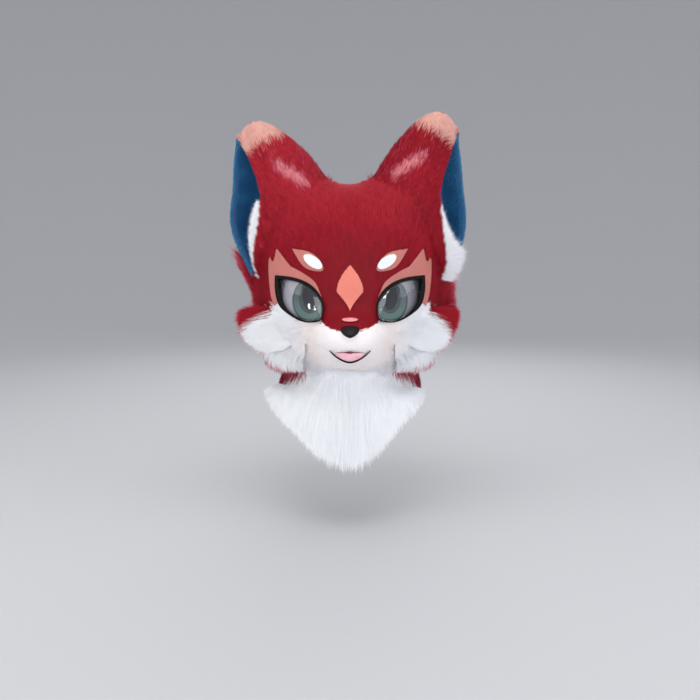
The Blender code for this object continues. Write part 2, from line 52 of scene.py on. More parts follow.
Triple = tuple[float, float, float]
Chance = np.random.Generator
LOG = logging.getLogger("fursuit_head")
SEED = 7
SIDES = {"left": -1.0, "right": 1.0}

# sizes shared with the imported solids
WALL = 0.012
CROWN_CENTRE_Z = -0.152
CROWN_HALF_HEIGHT = 0.164
NECK_SPLIT_Z = -0.336
NECK_RIM_Z = -0.402
COLLAR_WALL = 0.008
FACE_SEAT = 0.0013
NOSE_SEAT = 0.0005
PATCH_TOP = 0.0029
SPOT_TOP = 0.0051
EAR_WALL = 0.009


@dataclass(frozen=True)
class Bulge:
    """One rounded form of the head, a superellipsoid."""

    centre_y: float
    centre_z: float
    half_x: float
    half_y: float
    half_z: float
    power: float


HEAD_BULGES = (
    Bulge(0.000, CROWN_CENTRE_Z, 0.166, 0.165, CROWN_HALF_HEIGHT, 2.1),
    Bulge(-0.030, -0.212, 0.152, 0.122, 0.098, 2.4),
    Bulge(-0.133, -0.262, 0.062, 0.080, 0.046, 2.0),
    Bulge(-0.075, -0.280, 0.092, 0.094, 0.056, 2.0),
    Bulge(-0.003, -0.400, 0.138, 0.122, 0.150, 2.0),
)
BLEND = 0.010
# lines along which the skin is looked for: where they start and end, and how often they are halved
RAY_NEAR = 0.02
RAY_FAR = 0.6
FACE_FAR = 0.5
HALVINGS = 30
PROBE = 0.0005


def unit(vectors: Array) -> Array:
    """Return the vectors divided by their own length."""
    return vectors / np.maximum(np.linalg.norm(vectors, axis=-1, keepdims=True), 1e-12)


def ease(value: Array | float, low: float, high: float) -> Array:
    """Return a smooth step from 0 at low to 1 at high: 3 t squared less 2 t cubed."""
    share = np.clip((np.asarray(value, float) - low) / (high - low), 0.0, 1.0)
    return share * share * (3.0 - 2.0 * share)


def window(value: Array, rise: Pair, fall: Pair) -> Array:
    """Return 1 between two borders: a smooth step up over the rise, and down again over the fall."""
    return ease(value, *rise) * (1 - ease(value, *fall))


def bell(value: Array, middle: Array | float, half: float) -> Array:
    """Return a bell curve, 1 at its middle: exp of minus the square of the distance in half widths."""
    return np.exp(-(((value - middle) / half) ** 2))


def front_angle(points: Array) -> Array:
    """Return how many degrees points lie round the head from its front."""
    return np.degrees(np.arctan2(np.abs(points[:, 0]), -points[:, 1]))


def lookup(value: Array, table: Sequence[Pair]) -> Array:
    """Return the second column of a table at values of its first, in straight lines between its rows."""
    return np.interp(value, *np.array(table).T)


def smooth(points: Sequence[Any] | Array, count: int) -> Array:
    """Return points evenly placed along a Catmull-Rom curve through the given rows.

    Args:
        points: rows of numbers that the curve goes through.
        count: how many rows to return.

    Returns:
        The rows, each a cubic blend of its four nearest given rows.
    """
    rows = np.asarray(points, float)
    ends = np.concatenate([2 * rows[:1] - rows[1:2], rows, 2 * rows[-1:] - rows[-2:-1]])
    place = np.linspace(0, len(rows) - 1 - 1e-9, count)
    step = place.astype(int)
    t = (place - step).reshape((-1,) + (1,) * (rows.ndim - 1))
    a, b, c, d = (ends[step + k] for k in range(4))
    square = 2 * a - 5 * b + 4 * c - d
    cube = 3 * b - a - 3 * c + d
    return 0.5 * (2 * b + (c - a) * t + square * t**2 + cube * t**3)


def inset(outline: Array, width: Array | float) -> Array:
    """Move each point of a closed flat outline inwards by its width, square to the outline."""
    ahead = unit(np.roll(outline, -1, axis=0) - np.roll(outline, 1, axis=0))
    inward = np.stack([-ahead[:, 1], ahead[:, 0]], -1)
    following = np.roll(outline, -1, axis=0)
    turning = np.sum(outline[:, 0] * following[:, 1] - outline[:, 1] * following[:, 0])
    return outline + inward * math.copysign(1.0, turning) * np.reshape(width, (-1, 1))


def ellipse(centre: Sequence[float], half: Sequence[float], count: int, tilt: float = 0.0) -> Array:
    """Return a closed flat ellipse, turned by its tilt."""
    turn = np.linspace(0, 2 * math.pi, count, endpoint=False)
    x, z = half[0] * np.cos(turn), half[1] * np.sin(turn)
    cos, sin = math.cos(tilt), math.sin(tilt)
    return np.stack([x * cos - z * sin, x * sin + z * cos], -1) + np.asarray(centre)


def inside(points: Array, outline: Array) -> Array:
    """True where a flat point lies inside a closed outline: a ray from it crosses odd edges."""
    found = np.all((points > outline.min(0)) & (points < outline.max(0)), axis=-1)
    x, z = points[found, :1], points[found, 1:]
    (x0, z0), (x1, z1) = outline.T, np.roll(outline, -1, axis=0).T
    rise = np.where(np.abs(z1 - z0) < 1e-12, 1e-12, z1 - z0)
    crosses = ((z0 > z) != (z1 > z)) & (x < (x1 - x0) * (z - z0) / rise + x0)
    found[found] = crosses.sum(1) % 2 == 1
    return found


@dataclass(frozen=True)
class HeadForm:
    """The head's skin: a smooth union of rounded forms that melt together over the blend."""

    bulges: tuple[Bulge, ...]
    blend: float

    def distance(self, points: Array) -> Array:
        """Return how far points lie outside the skin, negative inside.

        Each form's distance is its power norm less one, over the slope of that norm. The union is
        minus the blend times the logarithm of the sum of exp(-distance / blend).
        """
        total = 0.0
        for form in self.bulges:
            half = np.array((form.half_x, form.half_y, form.half_z))
            q = np.abs((points - (0.0, form.centre_y, form.centre_z)) / half) + 1e-9
            size = (q**form.power).sum(-1) ** (1 / form.power)
            slope = size ** (1 - form.power) * np.sqrt(((q ** (form.power - 1) / half) ** 2).sum(-1))
            total = total + np.exp(-np.clip((size - 1) / slope, -0.5, 0.5) / self.blend)
        return -self.blend * np.log(total)

    def up(self, points: Array) -> Array:
        """Return the skin's unit normals, from differences of the distance along each axis."""
        steps = PROBE * np.eye(3)
        return unit(np.stack([self.distance(points + s) - self.distance(points - s) for s in steps], -1))

    def crossing(self, near: Array, far: Array, level: Array | float) -> Array:
        """Return points between near and far that lie the level outside the skin, by halving."""
        for _ in range(HALVINGS):
            middle = (near + far) / 2
            beyond = (self.distance(middle) > level)[..., None]
            far = np.where(beyond, middle, far)
            near = np.where(beyond, near, middle)
        return (near + far) / 2

    def around(self, angle: Array | float, z: Array | float, level: Array | float = 0.0) -> Array:
        """Return points at an angle from the front and a height, the level outside the skin."""
        angle, z, level = np.broadcast_arrays(*(np.asarray(v, float) for v in (angle, z, level)))
        axis = np.stack([0 * z, 0 * z, z], -1)
        way = np.stack([np.sin(angle), -np.cos(angle), 0 * z], -1)
        return self.crossing(axis, axis + way * RAY_FAR, level)

    def face(self, flat: Array, level: Array | float) -> Array:
        """Return points seen from the front at x and z, the level outside the skin."""
        x, z = np.moveaxis(np.asarray(flat, float), -1, 0)
        level = np.broadcast_to(np.asarray(level, float), x.shape)
        return self.crossing(np.stack([x, 0 * x, z], -1), np.stack([x, 0 * x - FACE_FAR, z], -1), level)

    def radial(self, points: Array, level: float) -> Array:
        """Move points straight from the cranium's middle until they lie the level outside the skin."""
        middle = np.broadcast_to(np.array((0.0, 0.0, CROWN_CENTRE_Z)), points.shape)
        way = unit(points - middle)
        return self.crossing(middle + way * RAY_NEAR, middle + way * RAY_FAR, level)

    def clear(self, points: Array, least: float) -> Array:
        """Push points that lie nearer the skin than least straight out from the cranium's middle."""
        near = self.distance(points) < least
        moved = points.copy()
        if near.any():
            moved[near] = self.radial(points[near], least)
        return moved


FORM = HeadForm(HEAD_BULGES, BLEND)
# how many sine waves a drift adds up
WAVES = 12


class Drift:
    """Smooth wandering field that gathers blades into locks: a sum of sine waves and its slope."""

    def __init__(self, size: float, seed: int, tall: float = 1.0) -> None:
        """Choose the waves.

        Args:
            size: length of one wave in metres.
            seed: number that fixes the waves' directions and phases.
            tall: how much longer the waves are up and down.
        """
        rng = np.random.default_rng(seed)
        ways = unit(rng.normal(size=(WAVES, 3)))
        self.waves = ways * rng.uniform(0.7, 1.5, (WAVES, 1)) * 2 * math.pi / size
        self.waves[:, 2] /= tall
        self.phase = rng.uniform(0, 2 * math.pi, WAVES)

    def value(self, points: Array) -> Array:
        """Return the field, mostly between -1 and 1."""
        return np.sin(points @ self.waves.T + self.phase).sum(-1) / math.sqrt(WAVES)

    def slope(self, points: Array) -> Array:
        """Return the direction in which the field rises, about one long."""
        waves = unit(self.waves)
        return np.cos(points @ self.waves.T + self.phase) @ waves / math.sqrt(WAVES)


class Dye(Enum):
    """Dyes of the fur, in their order along the map: root colour, tip colour and spread of shades. Where a
    root colour is darker than its tip, the darker root is painted shade deep in the pile.
    """

    RED = ((0.190, 0.004, 0.009), (0.365, 0.008, 0.021), 0.9)
    DEEP_RED = ((0.120, 0.003, 0.008), (0.290, 0.008, 0.020), 1.0)
    BRIGHT_RED = ((0.260, 0.006, 0.014), (0.480, 0.020, 0.038), 0.9)
    ROSE = ((0.300, 0.030, 0.060), (0.560, 0.110, 0.170), 0.9)
    # dye of the painted highlight on the ears
    PALE = ((0.450, 0.050, 0.062), (0.820, 0.280, 0.285), 0.8)
    PEACH = ((0.720, 0.320, 0.260), (0.840, 0.480, 0.410), 0.5)
    WHITE = ((0.860, 0.870, 0.920), (0.960, 0.970, 1.000), 0.40)
    CREAM = ((0.870, 0.800, 0.790), (0.940, 0.860, 0.845), 0.25)
    LILAC = ((0.620, 0.540, 0.660), (0.860, 0.780, 0.880), 0.6)
    BLUSH = ((0.850, 0.800, 0.840), (0.560, 0.110, 0.170), 0.6)
    BLUE = ((0.013, 0.082, 0.200), (0.031, 0.185, 0.450), 0.9)
    SEA_BLUE = ((0.020, 0.120, 0.250), (0.050, 0.260, 0.500), 0.9)
    CORAL = ((0.800, 0.240, 0.185), (0.980, 0.345, 0.265), 0.4)
    SALMON = ((0.540, 0.185, 0.160), (0.690, 0.255, 0.222), 0.5)

    @property
    def place(self) -> int:
        """Return the dye's place along the map."""
        return list(Dye).index(self)


DYES = len(Dye)
DYE_MARGIN = 0.08
DYE_SPREADS = np.array([dye.value[2] for dye in Dye])


def dye_u(dye: Array, shade: Array) -> Array:
    """Return the map's u for dyes and shades, with a margin at both ends of each dye's stretch."""
    share = 0.5 + (np.clip(shade, 0, 1) - 0.5) * DYE_SPREADS[dye]
    return (dye + DYE_MARGIN + (1 - 2 * DYE_MARGIN) * share) / DYES


@dataclass
class Signal:
    """A shader socket whose arithmetic adds Math nodes."""

    bench: "Bench"
    socket: bpy.types.NodeSocket

    def math(self, operation: str, *values: "Signal | float", clamp: bool = False) -> "Signal":
        """Return the outcome of a Math node on this signal and the values."""
        settings = {"operation": operation, "use_clamp": clamp}
        return self.bench.add("ShaderNodeMath", settings, dict(enumerate((self, *values))))

    def __add__(self, other: "Signal | float") -> "Signal":
        """Add."""
        return self.math("ADD", other)

    def __sub__(self, other: "Signal | float") -> "Signal":
        """Subtract."""
        return self.math("SUBTRACT", other)

    def __mul__(self, other: "Signal | float") -> "Signal":
        """Multiply."""
        return self.math("MULTIPLY", other)

    def __truediv__(self, other: "Signal | float") -> "Signal":
        """Divide."""
        return self.math("DIVIDE", other)

    def step(self, low: float, high: float) -> "Signal":
        """Return a smooth step from 0 at low to 1 at high."""
        settings = {"interpolation_type": "SMOOTHSTEP"}
        inputs = {"Value": self, "From Min": low, "From Max": high}
        return self.bench.add("ShaderNodeMapRange", settings, inputs)


class Bench:
    """Node tree of one material."""

    def __init__(self, name: str) -> None:
        """Make the material and keep its Principled shader."""
        self.material = bpy.data.materials.new(name)
        self.material.use_nodes = True
        self.tree = self.material.node_tree
        self.shader = self.tree.nodes["Principled BSDF"]

    def feed(self, socket: bpy.types.NodeSocket, value: Any) -> None:
        """Link a signal to a socket, or set the socket's own value."""
        if isinstance(value, Signal):
            self.tree.links.new(value.socket, socket)
        elif isinstance(value, tuple) and len(value) == 3 and len(socket.default_value) == 4:
            socket.default_value = (*value, 1.0)
        else:
            socket.default_value = value

    def add(self, kind: str, settings: dict[str, Any], inputs: dict[Any, Any],
            output: int | str = 0) -> Signal:
        """Add a node.

        Args:
            kind: the node's type.
            settings: its properties, or the stops of a ramp under the name stops.
            inputs: values or signals for its sockets, by name or number.
            output: name or number of the socket to return.

        Returns:
            The chosen output.
        """
        node = self.tree.nodes.new(kind)
        for name, value in settings.items():
            if name == "stops":
                ramp = node.color_ramp
                ramp.interpolation = settings.get("blend", "LINEAR")
                while len(ramp.elements) < len(value):
                    ramp.elements.new(1.0)
                for element, (place, colour) in zip(ramp.elements, value):
                    element.position = place
                    element.color = (*colour, 1.0)
            elif name != "blend":
                setattr(node, name, value)
        for name, value in inputs.items():
            self.feed(node.inputs[name], value)
        return Signal(self, node.outputs[output])

    def mix(self, share: Any, first: Any, second: Any, blend: str = "MIX") -> Signal:
        """Return a mix of two colours."""
        settings = {"data_type": "RGBA", "blend_type": blend}
        return self.add("ShaderNodeMix", settings, {0: share, 6: first, 7: second}, 2)

    def noise(self, place: Signal, scale: float, detail: float = 2.0) -> Signal:
        """Return smooth noise between 0 and 1 at a place."""
        return self.add("ShaderNodeTexNoise", {}, {"Vector": place, "Scale": scale, "Detail": detail})

    def grey(self, level: Signal) -> Signal:
        """Return a colour with the same level in all three parts."""
        return self.add("ShaderNodeCombineColor", {}, {0: level, 1: level, 2: level})

    def coordinates(self) -> Signal:
        """Return the piece's own coordinates, in metres."""
        return self.add("ShaderNodeTexCoord", {}, {}, "Object")

    def split(self, vector: Signal) -> tuple[Signal, Signal, Signal]:
        """Return the three numbers of a vector."""
        first = self.add("ShaderNodeSeparateXYZ", {}, {0: vector})
        node = first.socket.node
        return first, Signal(self, node.outputs[1]), Signal(self, node.outputs[2])

    def bump(self, height: Signal, strength: float, distance: float) -> Signal:
        """Return normals bent by a height, whose full range is the distance in metres."""
        inputs = {"Height": height, "Strength": strength, "Distance": distance}
        return self.add("ShaderNodeBump", {}, inputs)

    def set(self, **values: Any) -> None:
        """Set or link sockets of the shader, with underscores for the spaces in their names."""
        for name, value in values.items():
            self.feed(self.shader.inputs[name.replace("_", " ")], value)


@dataclass(frozen=True)
class FurFinish:
    """Dyed fur: colour runs from root to tip, where a root is darker than its tip that is painted shade
    deep in the pile, and every blade has its own shade.
    """

    name: str = "dyed_fur"
    darkest: float = 0.72
    lightest: float = 1.22
    roughness: float = 0.70
    specular: float = 0.10

    def build(self) -> bpy.types.Material:
        """Return the material, which reads the map OFBake alone."""
        bench = Bench(self.name)
        place = bench.add("ShaderNodeUVMap", {"uv_map": "OFBake"}, {})
        u, v, _ = bench.split(place)
        ends = []
        for end in (0, 1):
            stops = [(dye.place / DYES, dye.value[end]) for dye in Dye]
            ends.append(bench.add("ShaderNodeValToRGB", {"blend": "CONSTANT", "stops": stops}, {0: u}))
        colour = bench.mix(v.step(0.0, 0.75), *ends)
        local = (u * DYES).math("FRACT")
        share = (local - DYE_MARGIN) / (1 - 2 * DYE_MARGIN)
        level = share * (self.lightest - self.darkest) + self.darkest
        shaded = bench.mix(1.0, colour, bench.grey(level), "MULTIPLY")
        bench.set(Base_Color=shaded, Roughness=self.roughness, Specular_IOR_Level=self.specular)
        return bench.material


@dataclass(frozen=True)
class ClothFinish:
    """Plain woven or felted cloth in two tones.

    Args:
        grain: scale of the fine noise.
        depth: height of the relief in metres.
        uneven: width of the roughness's range.
    """

    name: str
    colour: Triple
    other: Triple
    roughness: float
    grain: float
    depth: float
    specular: float = 0.2
    uneven: float = 0.12

    def build(self) -> bpy.types.Material:
        """Return the material: two tones mixed by noise, and a finer noise as its relief."""
        bench = Bench(self.name)
        place = bench.coordinates()
        tone = bench.noise(place, self.grain / 12, 3.0)
        fine = bench.noise(place, self.grain)
        rough = fine * self.uneven + (self.roughness - self.uneven / 2)
        bench.set(Base_Color=bench.mix(tone.step(0.3, 0.7), self.colour, self.other))
        bench.set(Roughness=rough, Normal=bench.bump(fine, 0.6, self.depth))
        bench.set(Specular_IOR_Level=self.specular)
        return bench.material


@dataclass(frozen=True)
class Ring:
    """One printed oval: its middle, half sizes, colour, softness of its edge, and colour lower down."""

    centre: Pair
    half: Pair
    colour: Triple
    soft: float = 0.03
    low: Triple | None = None


@dataclass(frozen=True)
class PrintFinish:
    """Printed eye art: ovals laid over each other on a ground colour.

    Args:
        ground: colour beside the ovals.
        rings: the ovals, the lowest first.
        speckle: strength of the fine flecks.
        shadow: how much darker the print is under the upper lid.
        right_shadow: how much darker the right eye's outer corner is.
    """

    name: str
    ground: Triple
    rings: tuple[Ring, ...]
    speckle: float = 0.05
    shadow: float = 0.0
    right_shadow: float = 0.0
    # heights and widths over which the shadows set in
    lid_z: Pair = (-0.205, -0.160)
    corner_x: Pair = (0.085, 0.120)
    fleck_scale: float = 1100.0
    roughness: float = 0.42
    specular: float = 0.2

    def build(self) -> bpy.types.Material:
        """Return the material. An oval's distance is one at its half sizes."""
        bench = Bench(self.name)
        place = bench.coordinates()
        x, _, z = bench.split(place)
        colour: Any = self.ground
        for ring in self.rings:
            across = (x.math("ABSOLUTE") - ring.centre[0]) / ring.half[0]
            along = (z - ring.centre[1]) / ring.half[1]
            size = (across * across + along * along).math("SQRT")
            within = size.step(1 - ring.soft, 1.0) * -1.0 + 1.0
            ink: Any = ring.colour
            if ring.low is not None:
                ink = bench.mix(along.step(-0.9, 0.2), ring.low, ring.colour)
            colour = bench.mix(within, colour, ink)
        fleck = bench.noise(place, self.fleck_scale).step(0.35, 0.70)
        light = fleck * self.speckle + (1 - self.speckle / 2)
        dim = z.step(*self.lid_z) * -self.shadow + 1.0
        dim = dim * (x.step(*self.corner_x) * -self.right_shadow + 1.0)
        shaded = bench.mix(1.0, colour, bench.grey(light * dim), "MULTIPLY")
        bench.set(Base_Color=shaded, Roughness=self.roughness, Specular_IOR_Level=self.specular)
        return bench.material


@dataclass(frozen=True)
class DomeFinish:
    """Clear moulded plastic: mostly see-through, with a mirror's gloss on what it keeps."""

    name: str = "clear_dome"
    colour: Triple = (0.95, 0.97, 0.98)
    roughness: float = 0.035
    kept: float = 0.018

    def build(self) -> bpy.types.Material:
        """Return the material."""
        bench = Bench(self.name)
        bench.set(Base_Color=self.colour, Metallic=1.0, Roughness=self.roughness, Alpha=self.kept)
        return bench.material


EYE_WHITE_RINGS = (
    Ring((0.074, -0.203), (0.0535, 0.080), (0.165, 0.170, 0.200), 0.02),
    Ring((0.072, -0.203), (0.0505, 0.076), (0.400, 0.385, 0.450), 0.05, (0.250, 0.290, 0.310)),
    Ring((0.071, -0.200), (0.0350, 0.044), (0.340, 0.335, 0.370), 0.10, (0.200, 0.245, 0.255)),
)
IRIS_RINGS = (
    Ring((0.0722, -0.1990), (0.0292, 0.0362), (0.085, 0.120, 0.125), 0.05, (0.110, 0.185, 0.175)),
    Ring((0.0715, -0.1930), (0.0202, 0.0287), (0.034, 0.052, 0.054), 0.05),
    Ring((0.0715, -0.1930), (0.0192, 0.0277), (0.054, 0.064, 0.071), 0.06, (0.056, 0.080, 0.080)),
)
CLOTHS = (
    ClothFinish("black_felt", (0.009, 0.007, 0.008), (0.015, 0.012, 0.013), 0.85, 2600.0, 0.0003, 0.06),
    ClothFinish("nose_cloth", (0.009, 0.006, 0.008), (0.014, 0.009, 0.013), 0.55, 1900.0, 0.0002, 0.14),
    ClothFinish("tongue_cloth", (1.000, 0.500, 0.590), (1.000, 0.620, 0.700), 0.70, 1500.0, 0.0003),
    ClothFinish("lip_cloth", (0.130, 0.022, 0.045), (0.230, 0.055, 0.095), 0.80, 1500.0, 0.0003),
    ClothFinish("bar_cloth", (0.700, 0.260, 0.270), (0.780, 0.330, 0.340), 0.75, 1500.0, 0.0003),
    ClothFinish("lining_cloth", (0.030, 0.026, 0.030), (0.048, 0.042, 0.048), 0.85, 900.0, 0.0005),
)
FINISHES: dict[str, Any] = {
    **{cloth.name: cloth for cloth in CLOTHS},
    "fur": FurFinish(),
    "eye_white": PrintFinish("eye_white", (0.075, 0.078, 0.092), EYE_WHITE_RINGS, 0.30, 0.15, 0.60),
    "iris": PrintFinish("iris", (0.045, 0.068, 0.072), IRIS_RINGS, 0.16, 0.20),
    "pupil": PrintFinish("pupil", (0.024, 0.027, 0.034), (), 0.05),
    "dome": DomeFinish(),
}


class Rows:
    """Arrays that have a row for each blade, as the fields of a dataclass."""

    def parts(self) -> list[Array]:
        """Return the arrays."""
        return [getattr(self, field.name) for field in fields(self)]

    def keep(self, mask: Array) -> Self:
        """Return the rows where the mask is true."""
        return type(self)(*(part[mask] for part in self.parts()))

    def join(self, other: Self) -> Self:
        """Return these rows followed by the others."""
        return type(self)(*(np.concatenate(pair) for pair in zip(self.parts(), other.parts())))


@dataclass
class Roots(Rows):
    """Places where blades grow, and where they lie on their grid."""

    at: Array
    up: Array
    row: Array
    column: Array


@dataclass
class Surface:
    """A grid of points that fur grows on, as rows of columns."""

    points: Array
    outward: float = 1.0

    def normals(self) -> Array:
        """Return unit normals: the cross product of the steps along the columns and the rows."""
        along = np.gradient(self.points, axis=0)
        across = np.gradient(self.points, axis=1)
        return unit(np.cross(across, along)) * self.outward

    def sample(self, grid: Array, row: Array, column: Array) -> Array:
        """Return the values of a grid between its points, by bilinear mixing."""
        i = np.minimum(row.astype(int), grid.shape[0] - 2)
        j = np.minimum(column.astype(int), grid.shape[1] - 2)
        a = (row - i)[:, None]
        b = (column - j)[:, None]
        near = grid[i, j] * (1 - b) + grid[i, j + 1] * b
        far = grid[i + 1, j] * (1 - b) + grid[i + 1, j + 1] * b
        return near * (1 - a) + far * a

    def cells(self) -> Array:
        """Return the area of each cell, half the length of its diagonals' cross product."""
        p = self.points
        return np.linalg.norm(np.cross(p[1:, 1:] - p[:-1, :-1], p[1:, :-1] - p[:-1, 1:]), axis=-1) / 2

    def scatter(self, count: int, rng: Chance) -> Roots:
        """Return roots spread evenly over the area: cells are drawn by their size."""
        area = self.cells()
        total = np.cumsum(area.ravel())
        cell = np.searchsorted(total, (np.arange(count) + rng.random(count)) / count * total[-1])
        cell = np.minimum(cell, area.size - 1)
        row = cell // area.shape[1] + rng.random(count)
        column = cell % area.shape[1] + rng.random(count)
        up = unit(self.sample(self.normals(), row, column))
        return Roots(self.sample(self.points, row, column), up, row, column)


@dataclass(frozen=True)
class Pile:
    """Make of a fur cloth.

    Args:
        width: of a blade at its root, in metres.
        spread: how far blades stray from the comb.
        gather: how far tips move into their lock, in blade lengths.
        droop: how far tips bend down, in blade lengths.
        joints: stretches in a blade, which has 2 joints - 1 triangles.
        calm: share of the skin's own normal in a blade's shading.
        ragged: shortest blade, as a share of the longest.
    """

    width: float
    spread: float = 0.10
    gather: float = 0.0
    droop: float = 0.0
    joints: int = 1
    calm: float = 0.75
    ragged: float = 0.65


@dataclass
class Coat(Rows):
    """What each blade is like: its direction, length, lean, dye and shade.

    A lean of 0 stands upright and 1 lies flat.
    """

    comb: Array
    length: Array
    lean: Array
    dye: Array
    shade: Array


# turn of a blade about its line in radians, its least and greatest share of the width, and its taper
BLADE_ROLL = 0.7
BLADE_WIDTHS = (0.7, 1.2)
BLADE_TAPER = 0.7
# half a blade's width on the map, and the margin of its length there
BLADE_U = 0.0015
BLADE_V_MARGIN = 0.02
# shade and place between root and tip of the cloth under fur, and its step on the map
SKIN_SHADE = 0.4
SKIN_V = 0.30
SKIN_STEP = 0.003


class Maker:
    """Puts meshes into the scene and lists them."""

    def __init__(self) -> None:
        """Start with no materials and no pieces."""
        self.materials: dict[str, bpy.types.Material] = {}
        self.triangles = 0

    def material(self, name: str) -> bpy.types.Material:
        """Return a finish's material, made on first use."""
        if name not in self.materials:
            self.materials[name] = FINISHES[name].build()
        return self.materials[name]

    def put(self, name: str, verts: Array, faces: Array, finish: str,
            uv: Array | None = None, normals: Array | None = None, stands_for: Sequence[str] = (),
            second: tuple[str, Array] | None = None) -> bpy.types.Object:
        """Make a piece from arrays.

        Args:
            name: the piece's name.
            verts: points, one row each.
            faces: triangles or quads, as rows of point numbers.
            finish: name of its finish.
            uv: a map position for each point.
            normals: a shading normal for each point.
            stands_for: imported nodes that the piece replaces.
            second: a second finish, and a mask of the faces that take it.

        Returns:
            The piece, riding on the only body.
        """
        mesh = bpy.data.meshes.new(name)
        mesh.from_pydata(verts.tolist(), [], faces.tolist())
        mesh.materials.append(self.material(finish))
        if second is not None:
            mesh.materials.append(self.material(second[0]))
            mesh.polygons.foreach_set("material_index", second[1].astype(np.int32))
        if uv is not None:
            layer = mesh.uv_layers.new(name="OFBake")
            layer.data.foreach_set("uv", uv[faces.ravel()].astype(np.float32).ravel())
        mesh.polygons.foreach_set("use_smooth", np.ones(len(faces), bool))
        if normals is not None:
            mesh.normals_split_custom_set_from_vertices(normals.astype(np.float32))
        mesh.update()
        item = bpy.data.objects.new(name, mesh)
        bpy.context.scene.collection.objects.link(item)
        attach(item, "root")
        if stands_for:
            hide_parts(*stands_for)
        count = len(faces) * (faces.shape[1] - 2)
        self.triangles += count
        LOG.info("%s: %d triangles", name, count)
        return item

    def sheet(self, name: str, outer: Array, inner: Array, finish: str, closed: bool = False,
              dye: Dye | Array | None = None, stands_for: Sequence[str] | None = None,
              inner_finish: str | None = None) -> bpy.types.Object:
        """Make a closed solid between two grids of points with the same columns.

        Args:
            name: the piece's name.
            outer: grid of the outer face.
            inner: grid of the inner face, with as many rows or fewer.
            finish: finish of the outer face.
            closed: whether the last column joins the first.
            dye: dye of its fur cloth, or a grid of dye numbers for the outer face, or nothing.
            stands_for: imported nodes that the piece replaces, its namesake unless given.
            inner_finish: finish of the inner face where it differs.

        Returns:
            The piece. Its faces are the two grids, and strips that join their first and last rows.
        """
        columns = outer.shape[1]
        front = np.arange(outer.shape[0] * columns).reshape(-1, columns)
        back = np.arange(inner.shape[0] * columns).reshape(-1, columns) + front.size
        # columns: point numbers along one side and the other, whether it is turned over, which finish
        strips = [
            (front[:-1], front[1:], False, 0),
            (back[:-1], back[1:], True, 1),
            (front[-1:], back[-1:], False, 0),
            (front[:1], back[:1], True, 0),
        ]
        if not closed:
            share = np.linspace(0, len(inner) - 1, len(outer)).round().astype(int)
            for k, flip in ((0, True), (-1, False)):
                strips.append((front[None, :, k], back[None, share, k], flip, 0))
        faces, second = [], []
        for first, following, flip, part in strips:
            if closed:
                first, following = (np.concatenate([g, g[:, :1]], 1) for g in (first, following))
            quads = np.stack([first[:, :-1], first[:, 1:], following[:, 1:], following[:, :-1]], -1)
            quads = quads.reshape(-1, 4)
            faces.append(quads[:, ::-1] if flip else quads)
            second.append(np.full(len(quads), part))
        verts = np.concatenate([outer.reshape(-1, 3), inner.reshape(-1, 3)])
        faces = np.concatenate(faces)
        corners = verts[faces]
        outward = np.cross(corners[:, 2] - corners[:, 0], corners[:, 3] - corners[:, 1])
        if np.sum((corners.mean(1) - verts.mean(0)) * outward) < 0:
            faces = faces[:, ::-1]
        uv = None
        if dye is not None:
            places = np.full(outer.shape[:2], dye.place) if isinstance(dye, Dye) else dye
            flat = np.append(places.ravel(), np.full(back.size, places[0, 0]))
            uv = np.stack([dye_u(flat, np.full(len(flat), SKIN_SHADE)), np.full(len(flat), SKIN_V)], -1)
            number = np.arange(len(flat))
            uv += np.stack([number % 2, number // columns % 2], -1) * SKIN_STEP
        mask = (inner_finish, np.concatenate(second)) if inner_finish else None
        replaced = [name] if stands_for is None else stands_for
        return self.put(name, verts, faces, finish, uv, None, replaced, mask)

    def fur(self, name: str, roots: Roots, coat: Coat, pile: Pile, slot: str, rng: Chance,
            drift: Drift | None = None) -> bpy.types.Object:
        """Grow blades that lean over a skin.

        A blade's middle line is root + way t + bend t squared, for t from 0 to 1.

        Args:
            name: the piece's name.
            roots: where the blades grow.
            coat: what each blade is like.
            pile: make of the fur.
            slot: the record's material slot; not used.
            rng: source of chance.
            drift: field whose slope gathers the tips.

        Returns:
            The piece.
        """
        count = len(roots.at)
        stray = rng.normal(0, pile.spread, (count, 3))
        size = coat.length * rng.uniform(pile.ragged, 1.0, count)
        lean = coat.lean[:, None]
        way = unit(roots.up * (1 - lean) + coat.comb * lean + stray * (1.2 - lean)) * size[:, None]
        bend = np.zeros((count, 3))
        bend[:, 2] -= pile.droop * size
        if drift is not None:
            slope = drift.slope(roots.at)
            slope -= roots.up * np.sum(slope * roots.up, -1, keepdims=True)
            bend += slope * (pile.gather * size)[:, None]
        t = np.linspace(0, 1, pile.joints + 1)[None, :, None]
        line = roots.at[:, None] + way[:, None] * t + bend[:, None] * t * t
        return self.blades(name, line, roots.up, coat.dye, coat.shade, pile, slot, rng)

